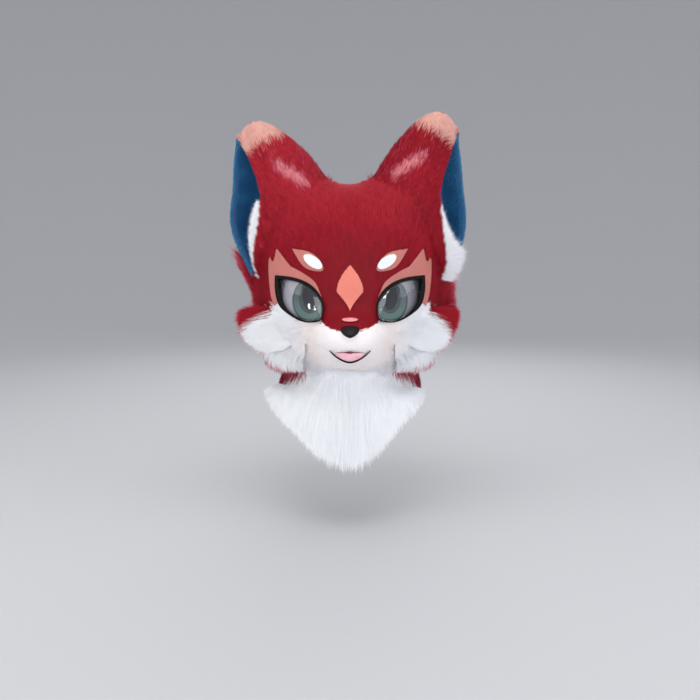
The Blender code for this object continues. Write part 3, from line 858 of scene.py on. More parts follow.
    def blades(self, name: str, line: Array, up: Array, dye: Array, shade: Array, pile: Pile, slot: str,
               rng: Chance) -> bpy.types.Object:
        """Make blades round their middle lines.

        A blade's half width falls as a power of 1 - t, and it is turned a little about its line.

        Args:
            name: the piece's name.
            line: middle line of each blade, joints + 1 points from root to tip.
            up: way out of the skin, for each blade.
            dye: dye number of each blade.
            shade: lightness of each blade, from 0 to 1.
            pile: make of the fur.
            slot: the record's material slot; not used.
            rng: source of chance.

        Returns:
            The piece.
        """
        count = len(line)
        t = np.linspace(0, 1, pile.joints + 1)[None, :, None]
        ahead = unit(line[:, -1] - line[:, 0])
        across = unit(np.cross(ahead, up))
        face_up = unit(np.cross(across, ahead))
        roll = rng.uniform(-BLADE_ROLL, BLADE_ROLL, count)[:, None]
        across, face_up = (across * np.cos(roll) + face_up * np.sin(roll),
                           face_up * np.cos(roll) - across * np.sin(roll))
        half = pile.width / 2 * rng.uniform(*BLADE_WIDTHS, (count, 1, 1)) * (1 - t[:, :-1]) ** BLADE_TAPER
        left = line[:, :-1] - across[:, None] * half
        right = line[:, :-1] + across[:, None] * half
        sides = np.stack([left, right], 2).reshape(count, -1, 3)
        verts = np.concatenate([sides, line[:, -1:]], 1)
        each = verts.shape[1]
        low = np.arange(pile.joints - 1) * 2
        pairs = np.stack([low, low + 1, low + 3, low, low + 3, low + 2], -1)
        shape = np.concatenate([pairs.reshape(-1, 3), [[each - 3, each - 2, each - 1]]])
        faces = (shape[None] + np.arange(count)[:, None, None] * each).reshape(-1, 3)
        u = dye_u(dye, shade)[:, None] + np.append(np.tile([-BLADE_U, BLADE_U], pile.joints), 0.0)
        v = np.append(np.repeat(t[0, :-1, 0], 2), 1.0) * (1 - 2 * BLADE_V_MARGIN) + BLADE_V_MARGIN
        uv = np.stack([u, np.broadcast_to(v, u.shape)], -1).reshape(-1, 2)
        calm = unit(up * pile.calm + face_up * (1 - pile.calm))
        normals = np.repeat(calm, each, axis=0)
        return self.put(name, verts.reshape(-1, 3), faces, "fur", uv, normals)


MAKER = Maker()


@dataclass(frozen=True)
class EyeMarks:
    """Outlines round one eye, seen from the front on the +X side."""

    # columns: x, z, width of the black rim
    outline: tuple[Triple, ...] = (
        (0.1340, -0.1560, 0.0050), (0.1010, -0.1585, 0.0045), (0.0750, -0.1670, 0.0045),
        (0.0570, -0.1815, 0.0040), (0.0470, -0.2000, 0.0025), (0.0465, -0.2180, 0.0018),
        (0.0530, -0.2320, 0.0018), (0.0800, -0.2360, 0.0018), (0.1070, -0.2250, 0.0028),
        (0.1265, -0.2065, 0.0060), (0.1335, -0.1830, 0.0075), (0.1340, -0.1560, 0.0050),
    )
    centre: Pair = (0.088, -0.199)
    iris_centre: Pair = (0.0722, -0.1990)
    iris_half: Pair = (0.0305, 0.0375)
    pupil_centre: Pair = (0.0705, -0.1915)
    pupil_half: Pair = (0.0130, 0.0235)
    # columns: x, z
    lid_edge: tuple[Pair, ...] = (
        (0.0500, -0.1880), (0.0620, -0.1640), (0.0890, -0.1460), (0.1170, -0.1320),
        (0.1310, -0.1085), (0.1360, -0.1250), (0.1415, -0.1310), (0.1475, -0.1215),
        (0.1490, -0.1460), (0.1450, -0.1860), (0.1380, -0.2100),
    )
    # columns: x, z
    brow_leaf: tuple[Pair, ...] = (
        (0.1020, -0.1080), (0.0700, -0.1140), (0.0520, -0.1280), (0.0465, -0.1440),
        (0.0620, -0.1455), (0.0820, -0.1370), (0.1020, -0.1080),
    )
    spot_centre: Pair = (0.0640, -0.1300)
    spot_half: Pair = (0.0185, 0.0088)
    spot_tilt: float = math.radians(33)
    rim_points: int = 24
    finer: int = 5

    def edge(self, side: float) -> tuple[Array, Array]:
        """Return the rim's outer outline and its width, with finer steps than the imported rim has."""
        rows = smooth(self.outline, self.rim_points * self.finer + 1)[:-1]
        return rows[:, :2] * (side, 1.0), rows[:, 2]

    def hole(self, side: float) -> Array:
        """Return the outline of the socket, the rim's inner edge."""
        outline, width = self.edge(side)
        return inset(outline, width)

    def lid(self, side: float) -> tuple[Array, Array]:
        """Return the eyelid patch's near and far curves."""
        grown = inset(self.edge(side)[0], -0.0012)
        step = self.finer
        near = np.concatenate([grown[8 * step:0:-1], grown[:1], grown[:20 * step - 1:-1]])
        return near, smooth(self.lid_edge, len(near)) * (side, 1.0)

    def lid_outline(self, side: float) -> Array:
        """Return the eyelid patch as one closed outline."""
        near, far = self.lid(side)
        return np.concatenate([near, far[::-1]])

    def leaf(self, side: float) -> Array:
        """Return the brow leaf's outline."""
        return smooth(self.brow_leaf, 61)[:-1] * (side, 1.0)

    def spot(self, side: float) -> Array:
        """Return the white oval's outline."""
        centre = np.array(self.spot_centre) * (side, 1.0)
        return ellipse(centre, self.spot_half, 48, self.spot_tilt * side)


EYE = EyeMarks()


@dataclass(frozen=True)
class FaceMarks:
    """Outlines of the marks on the bridge of the nose, the nose and the mouth."""

    diamond_top: float = -0.1365
    diamond_widest: float = -0.1820
    diamond_bottom: float = -0.2140
    diamond_half: float = 0.0225
    bar_centre: float = -0.2270
    bar_half: Pair = (0.0135, 0.0028)
    # columns: x, z
    nose_half: tuple[Pair, ...] = (
        (0.0000, -0.2365), (0.0100, -0.2372), (0.0158, -0.2410), (0.0140, -0.2480),
        (0.0075, -0.2535), (0.0000, -0.2565),
    )
    nose_rise: float = 0.010
    mouth_half: float = 0.035
    mouth_corner: float = -0.2805
    mouth_bottom: float = -0.3025
    lip_half: float = 0.0016
    tongue_half: float = 0.0240
    tongue_top: float = -0.2830
    peak_half: float = 0.0052

    def diamond(self) -> Array:
        """Return the diamond: a quarter sine above its widest place and a near straight taper below."""
        share = np.linspace(0, 1, 16)
        upper_x = self.diamond_half * np.sin(share**0.9 * math.pi / 2)
        lower_x = self.diamond_half * (1 - share) ** 1.3
        upper_z = self.diamond_top + (self.diamond_widest - self.diamond_top) * share
        lower_z = self.diamond_widest + (self.diamond_bottom - self.diamond_widest) * share
        right = np.stack([np.append(upper_x, lower_x[1:]), np.append(upper_z, lower_z[1:])], -1)
        return np.concatenate([right, right[-2:0:-1] * (-1.0, 1.0)])

    def nose(self) -> Array:
        """Return the nose's outline."""
        half = smooth(self.nose_half, 28)
        return np.concatenate([half, half[-2:0:-1] * (-1.0, 1.0)])

    def lip_z(self, x: Array) -> Array:
        """Return the height of the smile line: a power curve from the bottom to the corners."""
        rise = np.abs(x / self.mouth_half) ** 1.7
        return self.mouth_bottom + (self.mouth_corner - self.mouth_bottom) * rise

    def lip(self) -> tuple[Array, Array]:
        """Return the smile line's lower and upper edges, thinner towards the corners."""
        x = self.mouth_half * np.linspace(-1, 1, 81)
        line = np.stack([x, self.lip_z(x)], -1)
        ahead = unit(np.gradient(line, axis=0))
        across = np.stack([-ahead[:, 1], ahead[:, 0]], -1)
        half = self.lip_half * (0.35 + 0.65 * np.cos(x / self.mouth_half * math.pi / 2))[:, None]
        return line - across * half, line + across * half

    def tongue(self) -> tuple[Array, Array]:
        """Return the tongue's lower and upper edges."""
        x = self.tongue_half * np.linspace(-1, 1, 49)
        low = np.minimum(self.lip_z(x) + self.lip_half + 0.0008, self.tongue_top - 0.0010)
        high = self.tongue_top + 0.0020 * np.cos(x / self.tongue_half * math.pi / 2)
        return np.stack([x, low], -1), np.stack([x, high], -1)

    def upper_lip(self) -> tuple[Array, Array]:
        """Return the edges of the dark line over the tongue: a bell curve thickens its middle."""
        _, top = self.tongue()
        x = top[:, 0]
        thick = bell(x, 0.0, self.peak_half)
        thin = 0.0007 * np.cos(x / self.tongue_half * math.pi / 2)
        upward = np.array((0.0, 1.0))
        low = top - (thin + 0.0019 * thick)[:, None] * upward
        return low, top + (thin + 0.0012 * thick)[:, None] * upward

    def mouth(self) -> Array:
        """Return the whole mouth as one closed outline."""
        low, _ = self.lip()
        _, high = self.tongue()
        return np.concatenate([low, high[::-1]])


MARKS = FaceMarks()


def patch_grid(outline: Array, centre: Array, rings: int, level: Array | float, rise: float = 0) -> Array:
    """Return rings of points on the face from a centre to an outline.

    The level over the skin grows in the middle by rise times one less the ring's share squared.
    """
    share = np.linspace(0.0, 1.0, rings + 1)
    flat = centre + share[:, None, None] * (outline - centre)[None]
    return FORM.face(flat, level + rise * (1 - share**2)[:, None])


def band_grid(near: Array, far: Array, rows: int, level: Array | float) -> Array:
    """Return rows of points on the face between two flat curves."""
    share = np.linspace(0, 1, rows + 1)[:, None, None]
    return FORM.face(near[None] + share * (far - near)[None], level)


NOSE_TIP = np.array((0.0, -0.215, -0.255))
UPWARD = np.array((0.0, 0.0, 1.0))


def flat_way(way: Array, up: Array) -> Array:
    """Return unit directions along a skin, from any directions."""
    return unit(way - up * np.sum(way * up, -1, keepdims=True))


def away_from_nose(points: Array, up: Array) -> Array:
    """Return the comb of the head's fur: away from the nose, and down behind and on the neck."""
    behind = ease(points[..., 1], -0.02, 0.12)
    neck = ease(-points[..., 2], 0.295, 0.335)
    sag = (behind * 1.3 + neck * 1.6)[..., None]
    return flat_way(unit(points - NOSE_TIP) - UPWARD * sag, up)


@dataclass
class Ear:
    """One cupped ear: fur outside, blue plush inside.

    Args:
        tip_rise: how much higher the tip stands.
        flare: how far the back of the opening swings out.
        tip_lean: how far the tip leans outwards.
        more_join: what is added to the fillet's reach beside the top.
    """

    name: str
    side: float
    tip_rise: float
    flare: float
    tip_lean: float
    more_join: float
    rows: int = 26
    columns: int = 110
    blades: int = 55000
    plush_blades: int = 22000
    join: float = 0.050
    puff: float = 0.007
    lining_face: float = 0.0026
    lining_back: float = 0.0010
    trimmed: int = 4
    # stretch of the opening's edge that is bound in blue, as places along it
    bound: Pair = (0.46, 0.975)
    # painted highlight on a ridge of the ear's fur, laid as a pale streak: a line in x and z that starts
    # here, and fades over the rise and the fall in x
    highlight_x: float = 0.080
    highlight_z: float = 0.007
    highlight_slope: float = 0.58
    highlight_half: float = 0.0150
    highlight_rise: Pair = (0.060, 0.082)
    highlight_fall: Pair = (0.120, 0.156)
    highlight_rose_from: float = 0.50
    highlight_pale_from: float = 0.82
    # border of the peach tip: a line in x and z
    peach_x: float = 0.185
    peach_z: float = 0.070
    peach_slope: float = 0.50
    # places of the lines below, from the front foot (0) to the back foot (1)
    places: tuple[float, ...] = (0.00, 0.16, 0.32, 0.50, 0.68, 0.84, 1.00)
    # lines from the head over the ear to the edge of its opening, in millimetres
    # columns: x, y, z of four points: on the head, rising, shoulder and opening edge
    lines: tuple[Any, ...] = (
        ((160, -14, -178), (164, -16, -178), (168, -17, -178), (172, -16, -178)),
        ((150, -52, -105), (156, -57, -103), (161, -56, -100), (166, -50, -98)),
        ((98, -66, -30), (120, -67, -12), (141, -61, -5), (160, -48, -8)),
        ((36, -5, 8), (92, -6, 72), (158, 4, 118), (200, 14, 94)),
        ((98, 66, -30), (130, 82, 0), (182, 85, 18), (226, 64, 10)),
        ((146, 62, -100), (172, 86, -88), (204, 90, -80), (230, 66, -76)),
        ((160, 12, -176), (166, 18, -178), (174, 21, -180), (182, 20, -180)),
    )
    steps: int = 2400

    def __post_init__(self) -> None:
        """Work out the wall's middle surface, as rows from foot to edge, its normals and way onward."""
        last = len(self.places) - 1
        even = np.interp(np.linspace(0, 1, self.columns), self.places, np.arange(last + 1))
        dense = smooth(np.array(self.lines) / 1000, self.steps + 1)
        picked = dense[np.round(even * self.steps / last).astype(int)]
        surface = np.stack([smooth(line, self.rows) for line in picked], axis=1)
        height = np.clip((surface[..., 2] - 0.020) / 0.090, 0, 1)
        surface[..., 2] += self.tip_rise * height
        self.place = np.broadcast_to(np.linspace(0, 1, self.columns), surface.shape[:2])
        outward = window(self.place, (0.42, 0.58), (0.78, 0.95))
        surface[..., 0] += self.flare * outward * np.linspace(0, 1, self.rows)[:, None] ** 2
        surface[..., 0] += self.tip_lean * height
        surface[..., 0] *= self.side
        self.surface = surface
        normal = np.cross(np.gradient(surface, axis=0), np.gradient(surface, axis=1)) * self.side
        self.normal = unit(normal)
        self.onward = unit(surface[-1] - surface[-2])

    def outside(self) -> Array:
        """Return the wall's outer face, without the fillet: it swells a little towards the tip."""
        swell = self.puff * ease(self.surface[..., 2] - self.tip_rise, 0.03, 0.10)
        return FORM.clear(self.surface + self.normal * (EAR_WALL / 2 + swell)[..., None], 0.001)

    def reach(self) -> Array:
        """Return the reach of the fillet at each column: none at the feet and less beside the crown."""
        place = self.place[0]
        top = ease(place, 0.18, 0.36) * ease(1 - place, 0.12, 0.36)
        crown = 1 - 0.65 * bell(place, 0.5, 0.09)
        feet = ease(place, 0.0, 0.12) * ease(1 - place, 0.0, 0.2)
        return (self.join + self.more_join * top) * crown * feet

    def filleted(self) -> Array:
        """Return the outer face with the fillet that fills its join to the head."""
        outside = self.outside()
        reach = self.reach()[None, :]
        moved = outside
        rise = np.zeros(outside.shape[:2])
        for _ in range(FILLET_ROUNDS):
            rise = (rise + fillet(FORM.distance(moved), reach)) / 2
            moved = outside + self.normal * rise[..., None]
        return moved

    def build(self) -> None:
        """Build the wall with its fur, and the blue lining and floor with their plush."""
        half = EAR_WALL / 2
        turn = np.linspace(0, math.pi, 7)[1:, None, None]
        lip = self.surface[-1] + (self.normal[-1] * np.cos(turn) + self.onward * np.sin(turn) * 0.8) * half
        cup = FORM.clear(self.surface - self.normal * half, 0.001)
        outer = np.concatenate([self.filleted(), lip])
        dyes = self.dyes(outer, 0 * outer[..., 0], 0 * outer[..., 0])
        first, last = (int(place * self.columns) for place in self.bound)
        dyes[self.rows:, first:last] = Dye.BLUE.place
        wall = MAKER.sheet(f"ear_{self.name}", outer, cup, "fur", dye=dyes)
        self.coat(outer)
        inner_columns = slice(self.trimmed, -self.trimmed)
        face = (cup - self.normal * self.lining_face)[:, inner_columns]
        back = (cup - self.normal * self.lining_back)[:, inner_columns]
        MAKER.sheet(f"ear_lining_{self.name}", face, back, "fur", dye=Dye.BLUE)
        foot, across = cup[0], cup[0, ::-1]
        used = slice(2, self.columns // 2 - 1)
        share = np.linspace(0.04, 0.96, 12)[None, :, None]
        chords = foot[used, None] + (across[used, None] - foot[used, None]) * share
        floor = FORM.radial(chords, PATCH_TOP)
        seat = FORM.radial(chords, FACE_SEAT)
        MAKER.sheet(f"ear_floor_{self.name}", floor, seat, "fur", dye=Dye.BLUE)
        self.plush(face, floor)

    def comb(self, roots: Roots) -> Array:
        """Return the comb of an ear's fur: up along the wall and outwards, less so towards the tip."""
        outwards = 0.70 - 0.40 * ease(roots.at[:, 2], -0.06, 0.06)
        way = np.stack([outwards * self.side, 0 * outwards, 0 * outwards + 1.0], -1)
        return flat_way(way, roots.up)

    def dyes(self, points: Array, chance: Array, wander: Array) -> Array:
        """Return the dye of each point of the outer face.

        Args:
            points: places on the face.
            chance: a number for each point, about -1 to 1, that blurs the borders.
            wander: the same, from a smooth field.

        Returns:
            Dye numbers: deep red behind, red in front with a painted highlight laid as a pale streak, and
                a peach tip.
        """
        x, y, z = np.abs(points[..., 0]), points[..., 1], points[..., 2] - self.tip_rise
        dye = np.where(y > 0.02 + 0.02 * chance, Dye.DEEP_RED.place, Dye.BRIGHT_RED.place)
        dye = np.where((z < -0.03 + 0.03 * chance) & (chance > wander), Dye.RED.place, dye)
        dye = np.where((points[..., 0] > 0) & (y < 0.02) & (chance > -0.9), Dye.RED.place, dye)
        # painted highlight: rose and pale blades along a sloping streak
        middle = self.highlight_z + (x - self.highlight_x) * self.highlight_slope
        glow = window(x, self.highlight_rise, self.highlight_fall) * bell(z, middle, self.highlight_half)
        glow = glow * (y < 0.0)
        glow = glow + 0.16 * chance + 0.16 * wander
        dye = np.where(glow > self.highlight_rose_from, Dye.ROSE.place, dye)
        dye = np.where(glow > self.highlight_pale_from, Dye.PALE.place, dye)
        border = self.peach_z + (self.peach_x - x) * self.peach_slope + 0.008 * chance + 0.003 * wander
        return np.where(z > border, Dye.PEACH.place, dye)

    def coat(self, outer: Array) -> None:
        """Grow the red outer fur with its peach tip, a pale streak that is a painted highlight, and rose
        blades that are painted glints.
        """
        rng = np.random.default_rng(SEED + 40 + int(self.side))
        roots = Surface(outer, -self.side).scatter(self.blades, rng)
        count = len(roots.at)
        z = roots.at[:, 2] - self.tip_rise
        streaks, locks = Drift(0.008, 13, 4.0), Drift(0.018, 14)
        streak, lock = streaks.value(roots.at), locks.value(roots.at)
        dye = self.dyes(roots.at, rng.normal(0, 1, count), 0.4 * lock + 0.8 * streak)
        # painted glint: a few rose blades on the inner edge's upper part stand for backlit tips
        glint = (roots.up[:, 0] * self.side < -0.45) & (z > 0.0) & (rng.random(count) < 0.10)
        dye = np.where(glint & (dye != Dye.PEACH.place), Dye.ROSE.place, dye)
        along = roots.column / (self.columns - 1)
        rim = (roots.row > self.rows - 1) & (along > self.bound[0]) & (along < self.bound[1])
        dye = np.where(rim, Dye.SEA_BLUE.place, dye)
        shade = 0.5 + 0.09 * lock + 0.12 * streak + rng.normal(0, 0.08, count)
        # shorter at the tip, the edge and the rim, and short and flat where the ears meet the crown
        length = 0.017 - 0.004 * ease(z, 0.05, 0.10) + 0.0015 * lock
        length = np.where(roots.row > self.rows - 3, 0.011, length)
        length = np.where(rim, 0.007, length)
        crown = bell(along, 0.5, 0.10) * (1 - ease(FORM.distance(roots.at), 0.004, 0.030))
        length = length * (1 - 0.65 * crown)
        lean = 0.74 + 0.06 * ease(z, 0.05, 0.10) + 0.12 * crown
        # the rim's fur and the front fringe point over the opening's edge
        edgeward = self.onward[np.minimum(roots.column.astype(int), self.columns - 1)]
        comb = np.where(rim[:, None], flat_way(edgeward, roots.up), self.comb(roots))
        fringe = (ease(roots.row, self.rows - 9, self.rows - 3) * (along < self.bound[0]))[:, None]
        comb = flat_way(comb + edgeward * 0.8 * fringe, roots.up)
        coat = Coat(comb, length, lean, dye, shade)
        pile = Pile(width=0.0011, spread=0.14, gather=0.20)
        MAKER.fur(f"ear_fur_{self.name}", roots, coat, pile, "red_fur", rng, locks)

    def plush(self, face: Array, floor: Array) -> None:
        """Grow the blue plush of the lining and of the cup's floor, with painted light: lighter towards
        the opening's edge, in mottled patches of sheen, and on the right ear.
        """
        rng = np.random.default_rng(SEED + 60 + int(self.side))
        first = Surface(face, self.side).scatter(int(self.plush_blades * 0.75), rng)
        second = Surface(floor, 1.0).scatter(int(self.plush_blades * 0.25), rng)
        second.up = FORM.up(second.at)
        edge = np.append(ease(first.row, self.rows - 9, self.rows - 1), np.zeros(len(second.at)))
        roots = first.join(second)
        count = len(roots.at)
        wide = Drift(0.045, 19).value(roots.at)
        # painted light: the plush is lighter towards the opening's edge, in broad mottled patches of
        # sheen, and on the right ear
        light = wide * 0.35 + edge * 0.7 + rng.normal(0, 0.3, count)
        dye = np.where(light > 0.55 - 0.35 * self.side, Dye.SEA_BLUE.place, Dye.BLUE.place)
        # painted light: the right ear's plush takes a lighter shade than the left's
        shade = 0.5 + 0.2 * self.side + 0.2 * wide + rng.normal(0, 0.12, count)
        coat = Coat(self.comb(roots), np.full(count, 0.0050), np.full(count, 0.72), dye, shade)
        pile = Pile(width=0.0012, spread=0.14, gather=0.10)
        drift = Drift(0.02, 20)
        MAKER.fur(f"ear_plush_{self.name}", roots, coat, pile, "blue_plush", rng, drift)


FILLET_ROUNDS = 7
# points to a slice, so that the table of distances fits in memory
SLICE = 4000


def fillet(gap: Array, reach: Array | float) -> Array:
    """Return how far one face of a corner moves out to fill it: (root of reach - root of gap) squared.

    It is zero where the other face is further off than the reach, and a quarter of the reach at most,
    where the fillets of both faces meet.
    """
    rest = np.sqrt(reach) - np.sqrt(np.clip(gap, 0.0, None))
    return np.minimum(np.clip(rest, 0.0, None) ** 2, reach * 0.25)


def nearest(points: Array, others: Array) -> tuple[Array, Array]:
    """Return each point's distance to the nearest of the others and its number, slice by slice."""
    squares = np.sum(others**2, -1)
    parts = np.array_split(points, max(1, len(points) // SLICE))
    which = np.concatenate([np.argmin(squares - 2 * part @ others.T, axis=1) for part in parts])
    return np.linalg.norm(points - others[which], axis=-1), which


# height below which the neck's front is white
# columns: degrees from the front, z
BIB_LINE = (
    (30, -0.322), (40, -0.331), (52, -0.338), (66, -0.352), (78, -0.370), (95, -0.420),
)


@dataclass
class Spots:
    """Places on the head, and the values of three smooth fields there.

    The angle is in degrees from the front, and the gap is the distance from the tip of the nose.
    """

    y: Array
    below: Array
    angle: Array
    gap: Array
    streak: Array
    lock: Array
    wide: Array

    def cheek(self) -> Array:
        """Return 1 where long white hair flows from the muzzle over the fluffs."""
        return window(self.angle, (17, 29), (60, 72)) * window(self.below, (0.222, 0.245), (0.315, 0.330))

    def crook(self) -> Array:
        """Return 1 where hair stands up beside the jaw fluff, and where white hair is painted lighter."""
        return bell(self.angle, 27, 6) * window(self.below, (0.250, 0.272), (0.318, 0.330))

    def flank(self) -> Array:
        """Return 1 on the long fur behind the cheeks."""
        return window(self.angle, (58, 76), (112, 132)) * window(self.below, (0.15, 0.19), (0.27, 0.31))


@dataclass
class Head:
    """The padded head with its skin, lining, face fur and back fur."""

    ears: dict[str, Ear]
    columns: int = 201
    rows: int = 120
    face_angle: float = 100.0
    # columns: distance from the tip of the nose, length of the fur
    lengths: tuple[Pair, ...] = (
        (0.04, 0.0030), (0.09, 0.0042), (0.12, 0.0068), (0.16, 0.0110), (0.22, 0.0150),
        (0.36, 0.0190),
    )
    # painted shade of the crease at the left corner of the mouth: x and z of its ends, and its half width
    crease_shade_x: Pair = (-0.056, -0.036)
    crease_shade_z: Pair = (-0.2725, -0.2800)
    crease_shade_reach: Pair = (-0.055, -0.034)
    crease_shade_half: float = 0.0011
    # height of the border between red and white fur
    # columns: degrees from the front, z
    border: tuple[Pair, ...] = (
        (0, -0.2480), (5, -0.2450), (9, -0.2420), (15, -0.2365), (18, -0.2300),
        (22, -0.2100), (48, -0.2000), (51, -0.2070), (56, -0.2150), (66, -0.2260),
        (76, -0.2480), (86, -0.2850), (96, -0.3400), (110, -0.4600),
    )
    neck_white_angle: float = 33.0
    neck_red_z: float = -0.316
    roots: int = 308000
    lining_rows: int = 40
    socket_depth: float = 0.0088

    def grid(self, level: float, rows: int) -> Array:
        """Return rows from the crown to the neck split, at even steps along the skin's profile."""
        angle = np.linspace(-math.pi, math.pi, self.columns)
        upper = int(rows * 0.55)
        crown = np.cos(np.linspace(0.02, math.pi / 2, upper))
        heights = CROWN_CENTRE_Z + (CROWN_HALF_HEIGHT + level) * crown
        heights = np.append(heights, np.linspace(CROWN_CENTRE_Z, NECK_SPLIT_Z, rows - upper + 1)[1:])
        return FORM.around(angle[None, :], heights[:, None], level)

    def footprint(self, points: Array) -> Array:
        """True on the skin inside the foot of an ear."""
        found = np.zeros(len(points), bool)
        for ear in self.ears.values():
            found |= inside(points[:, 1:], ear.surface[0, :, 1:]) & (points[:, 0] * ear.side > 0)
        return found

    def coat_grid(self) -> Array:
        """Return the outer skin with its fillets to the ears."""
        base = self.grid(0.0, self.rows)
        flat = base.reshape(-1, 3)
        rise = np.zeros(len(flat))
        up = FORM.up(flat)
        for ear in self.ears.values():
            near = (flat[:, 0] * ear.side > 0) & ~self.footprint(flat)
            used = np.flatnonzero((ear.place[0] > 0.08) & (ear.place[0] < 0.88))[::2]
            wall = ear.outside()[:16, used].reshape(-1, 3)
            reach = np.tile(ear.reach()[used], 16)
            for _ in range(FILLET_ROUNDS):
                moved = flat[near] + up[near] * rise[near, None]
                gap, which = nearest(moved, wall)
                rise[near] = (rise[near] + fillet(gap, reach[which])) / 2
        self.rise = rise.reshape(base.shape[:2])
        return (flat + up * rise[:, None]).reshape(base.shape)

    def skin(self, outer: Array) -> None:
        """Build the skin under the fur, sunk at the eye sockets, and the lining of the hollow."""
        outer = outer[:, :-1]
        flat = outer.reshape(-1, 3).copy()
        for side in SIDES.values():
            sunk = inside(flat[:, [0, 2]], EYE.edge(side)[0]) & (flat[:, 1] < 0)
            flat[sunk] = FORM.face(flat[sunk][:, [0, 2]], -self.socket_depth)
        dyes = np.where(self.is_white(flat, 0 * flat[:, 0]), Dye.WHITE.place, Dye.RED.place)
        dyes = np.where((flat[:, 1] > 0.03) & (dyes == Dye.RED.place), Dye.DEEP_RED.place, dyes)
        top = np.zeros((1, outer.shape[1], 3)) + (0.0, 0.0, CROWN_CENTRE_Z + CROWN_HALF_HEIGHT)
        outer = np.concatenate([top, flat.reshape(outer.shape)])
        inner = self.grid(-WALL, self.lining_rows)[:, :-1]
        inner = np.concatenate([top - UPWARD * WALL, inner])
        dyes = np.append(np.full(outer.shape[1], Dye.DEEP_RED.place), dyes).reshape(outer.shape[:2])
        wall = MAKER.sheet("head_skin", outer, inner, "fur", True, dyes, ["head_shell"],
                           "lining_cloth")

    def is_white(self, points: Array, fuzz: Array) -> Array:
        """True where the fur is white: below the border, and on the neck only in front."""
        angle = front_angle(points)
        below = points[:, 2] < lookup(angle, self.border) + fuzz
        bib = lookup(angle, BIB_LINE)
        band = (points[:, 2] < self.neck_red_z + fuzz) & (points[:, 2] > bib + fuzz)
        return below & ~(band & (angle > self.neck_white_angle + fuzz * 500))

    def bare(self, points: Array) -> Array:
        """True where a patch, the nose or the mouth covers the skin."""
        flat = points[:, [0, 2]]
        shapes = [MARKS.diamond(), MARKS.nose(), MARKS.mouth(),
                  ellipse((0.0, MARKS.bar_centre), MARKS.bar_half, 24)]
        for side in SIDES.values():
            shapes += [EYE.edge(side)[0], EYE.lid_outline(side), EYE.leaf(side)]
        found = np.zeros(len(points), bool)
        for shape in shapes:
            found |= inside(flat, shape)
        return found & (points[:, 1] < 0)

    def dyes(self, at: Array, spots: Spots, white: Array, rng: Chance) -> Array:
        """Return the dye of each blade: cream round the nose, brighter above, deeper behind."""
        count = len(at)
        dye = np.where(white, Dye.WHITE.place, Dye.RED.place)
        dye = np.where(white & (spots.gap < 0.11 + rng.normal(0, 0.012, count)), Dye.CREAM.place, dye)
        glow = at[:, 2] + 0.45 * np.abs(at[:, 0]) + 0.022 * rng.normal(0, 1, count)
        dye = np.where(~white & (glow > -0.030) & (spots.y < 0.02), Dye.BRIGHT_RED.place, dye)
        dye = np.where(~white & (spots.y > rng.normal(0.03, 0.03, count)), Dye.DEEP_RED.place, dye)
        neck = ~white & (at[:, 2] < rng.normal(-0.315, 0.008, count)) & (spots.y < 0.06)
        return np.where(neck & (spots.angle < 84), Dye.ROSE.place, dye)

    def shades(self, at: Array, spots: Spots, white: Array, cream: Array, rng: Chance) -> Array:
        """Return the shade of each blade: painted shade darkens the red on the bridge of the nose and the
        mouth's crease, and painted light brightens the white hair beside the jaw fluffs.
        """
        shade = 0.45 + 0.09 * spots.wide + 0.08 * spots.streak + 0.06 * spots.lock
        # painted shade: the red fur is darker on the bridge of the nose
        shade = shade + rng.normal(0, 0.09, len(at)) - 0.30 * (1 - ease(spots.gap, 0.10, 0.17)) * ~white
        # painted light: the white hair beside the jaw fluffs is lighter, against the shade there
        shade = shade + 0.35 * cream + 0.25 * spots.crook() * white
        x, z = at[:, 0], at[:, 2]
        # painted shade: a dark line of fur along the crease at the left corner of the mouth
        crease_shade = np.abs(z - np.interp(x, self.crease_shade_x, self.crease_shade_z)) < self.crease_shade_half
        return np.where(crease_shade & (x > self.crease_shade_reach[0]) & (x < self.crease_shade_reach[1]), 0.0, shade)

    def fur(self, outer: Array) -> None:
        """Grow the face's red and white fur and the fur of the back."""
        rng = np.random.default_rng(SEED)
        surface = Surface(outer, -1.0)
        roots = surface.scatter(self.roots, rng)
        roots = roots.keep(~self.bare(roots.at) & ~self.footprint(roots.at))
        at = roots.at
        locks = Drift(0.018, 5, 1.6)
        spots = Spots(
            y=at[:, 1],
            below=-at[:, 2],
            angle=front_angle(at),
            gap=np.linalg.norm(at - NOSE_TIP, axis=-1),
            streak=Drift(0.008, 3, 5.0).value(at),
            lock=locks.value(at),
            wide=Drift(0.090, 4).value(at),
        )
        blur = 0.0004 + 0.0045 * ease(spots.gap, 0.11, 0.20)
        fuzz = spots.wide * 0.001 + (rng.normal(0, 1, len(at)) + spots.lock) * blur
        white = self.is_white(at, fuzz)
        front = (spots.angle < self.face_angle) & (spots.y < 0.045)
        cheek, flank = spots.cheek() * white, spots.flank()
        length = lookup(spots.gap, self.lengths) * (1 + 0.12 * spots.lock)
        length = length + 0.024 * flank + 0.012 * ease(spots.below, 0.31, 0.335) + 0.021 * cheek
        lean = 0.86 - 0.04 * ease(spots.y, 0.0, 0.1) - 0.30 * flank - 0.10 * cheek
        lean = lean - 0.34 * spots.crook() * white
        dye = self.dyes(at, spots, white, rng)
        shade = self.shades(at, spots, white, dye == Dye.CREAM.place, rng)
        # on the fillets in front the fur climbs towards the ears
        rise = surface.sample(self.rise[..., None], roots.row, roots.column)[:, 0]
        climb = np.where(spots.y < 0.03, ease(rise, 0.0005, 0.0090), 0.0)
        climb = climb * (1 - ease(roots.up[:, 2], 0.50, 0.80))
        comb = away_from_nose(at, roots.up)
        comb = flat_way(comb + (UPWARD * 1.6 - comb) * climb[:, None], roots.up)
        coat = Coat(comb, length * (1 + 0.35 * climb), lean - 0.12 * climb, dye, shade)
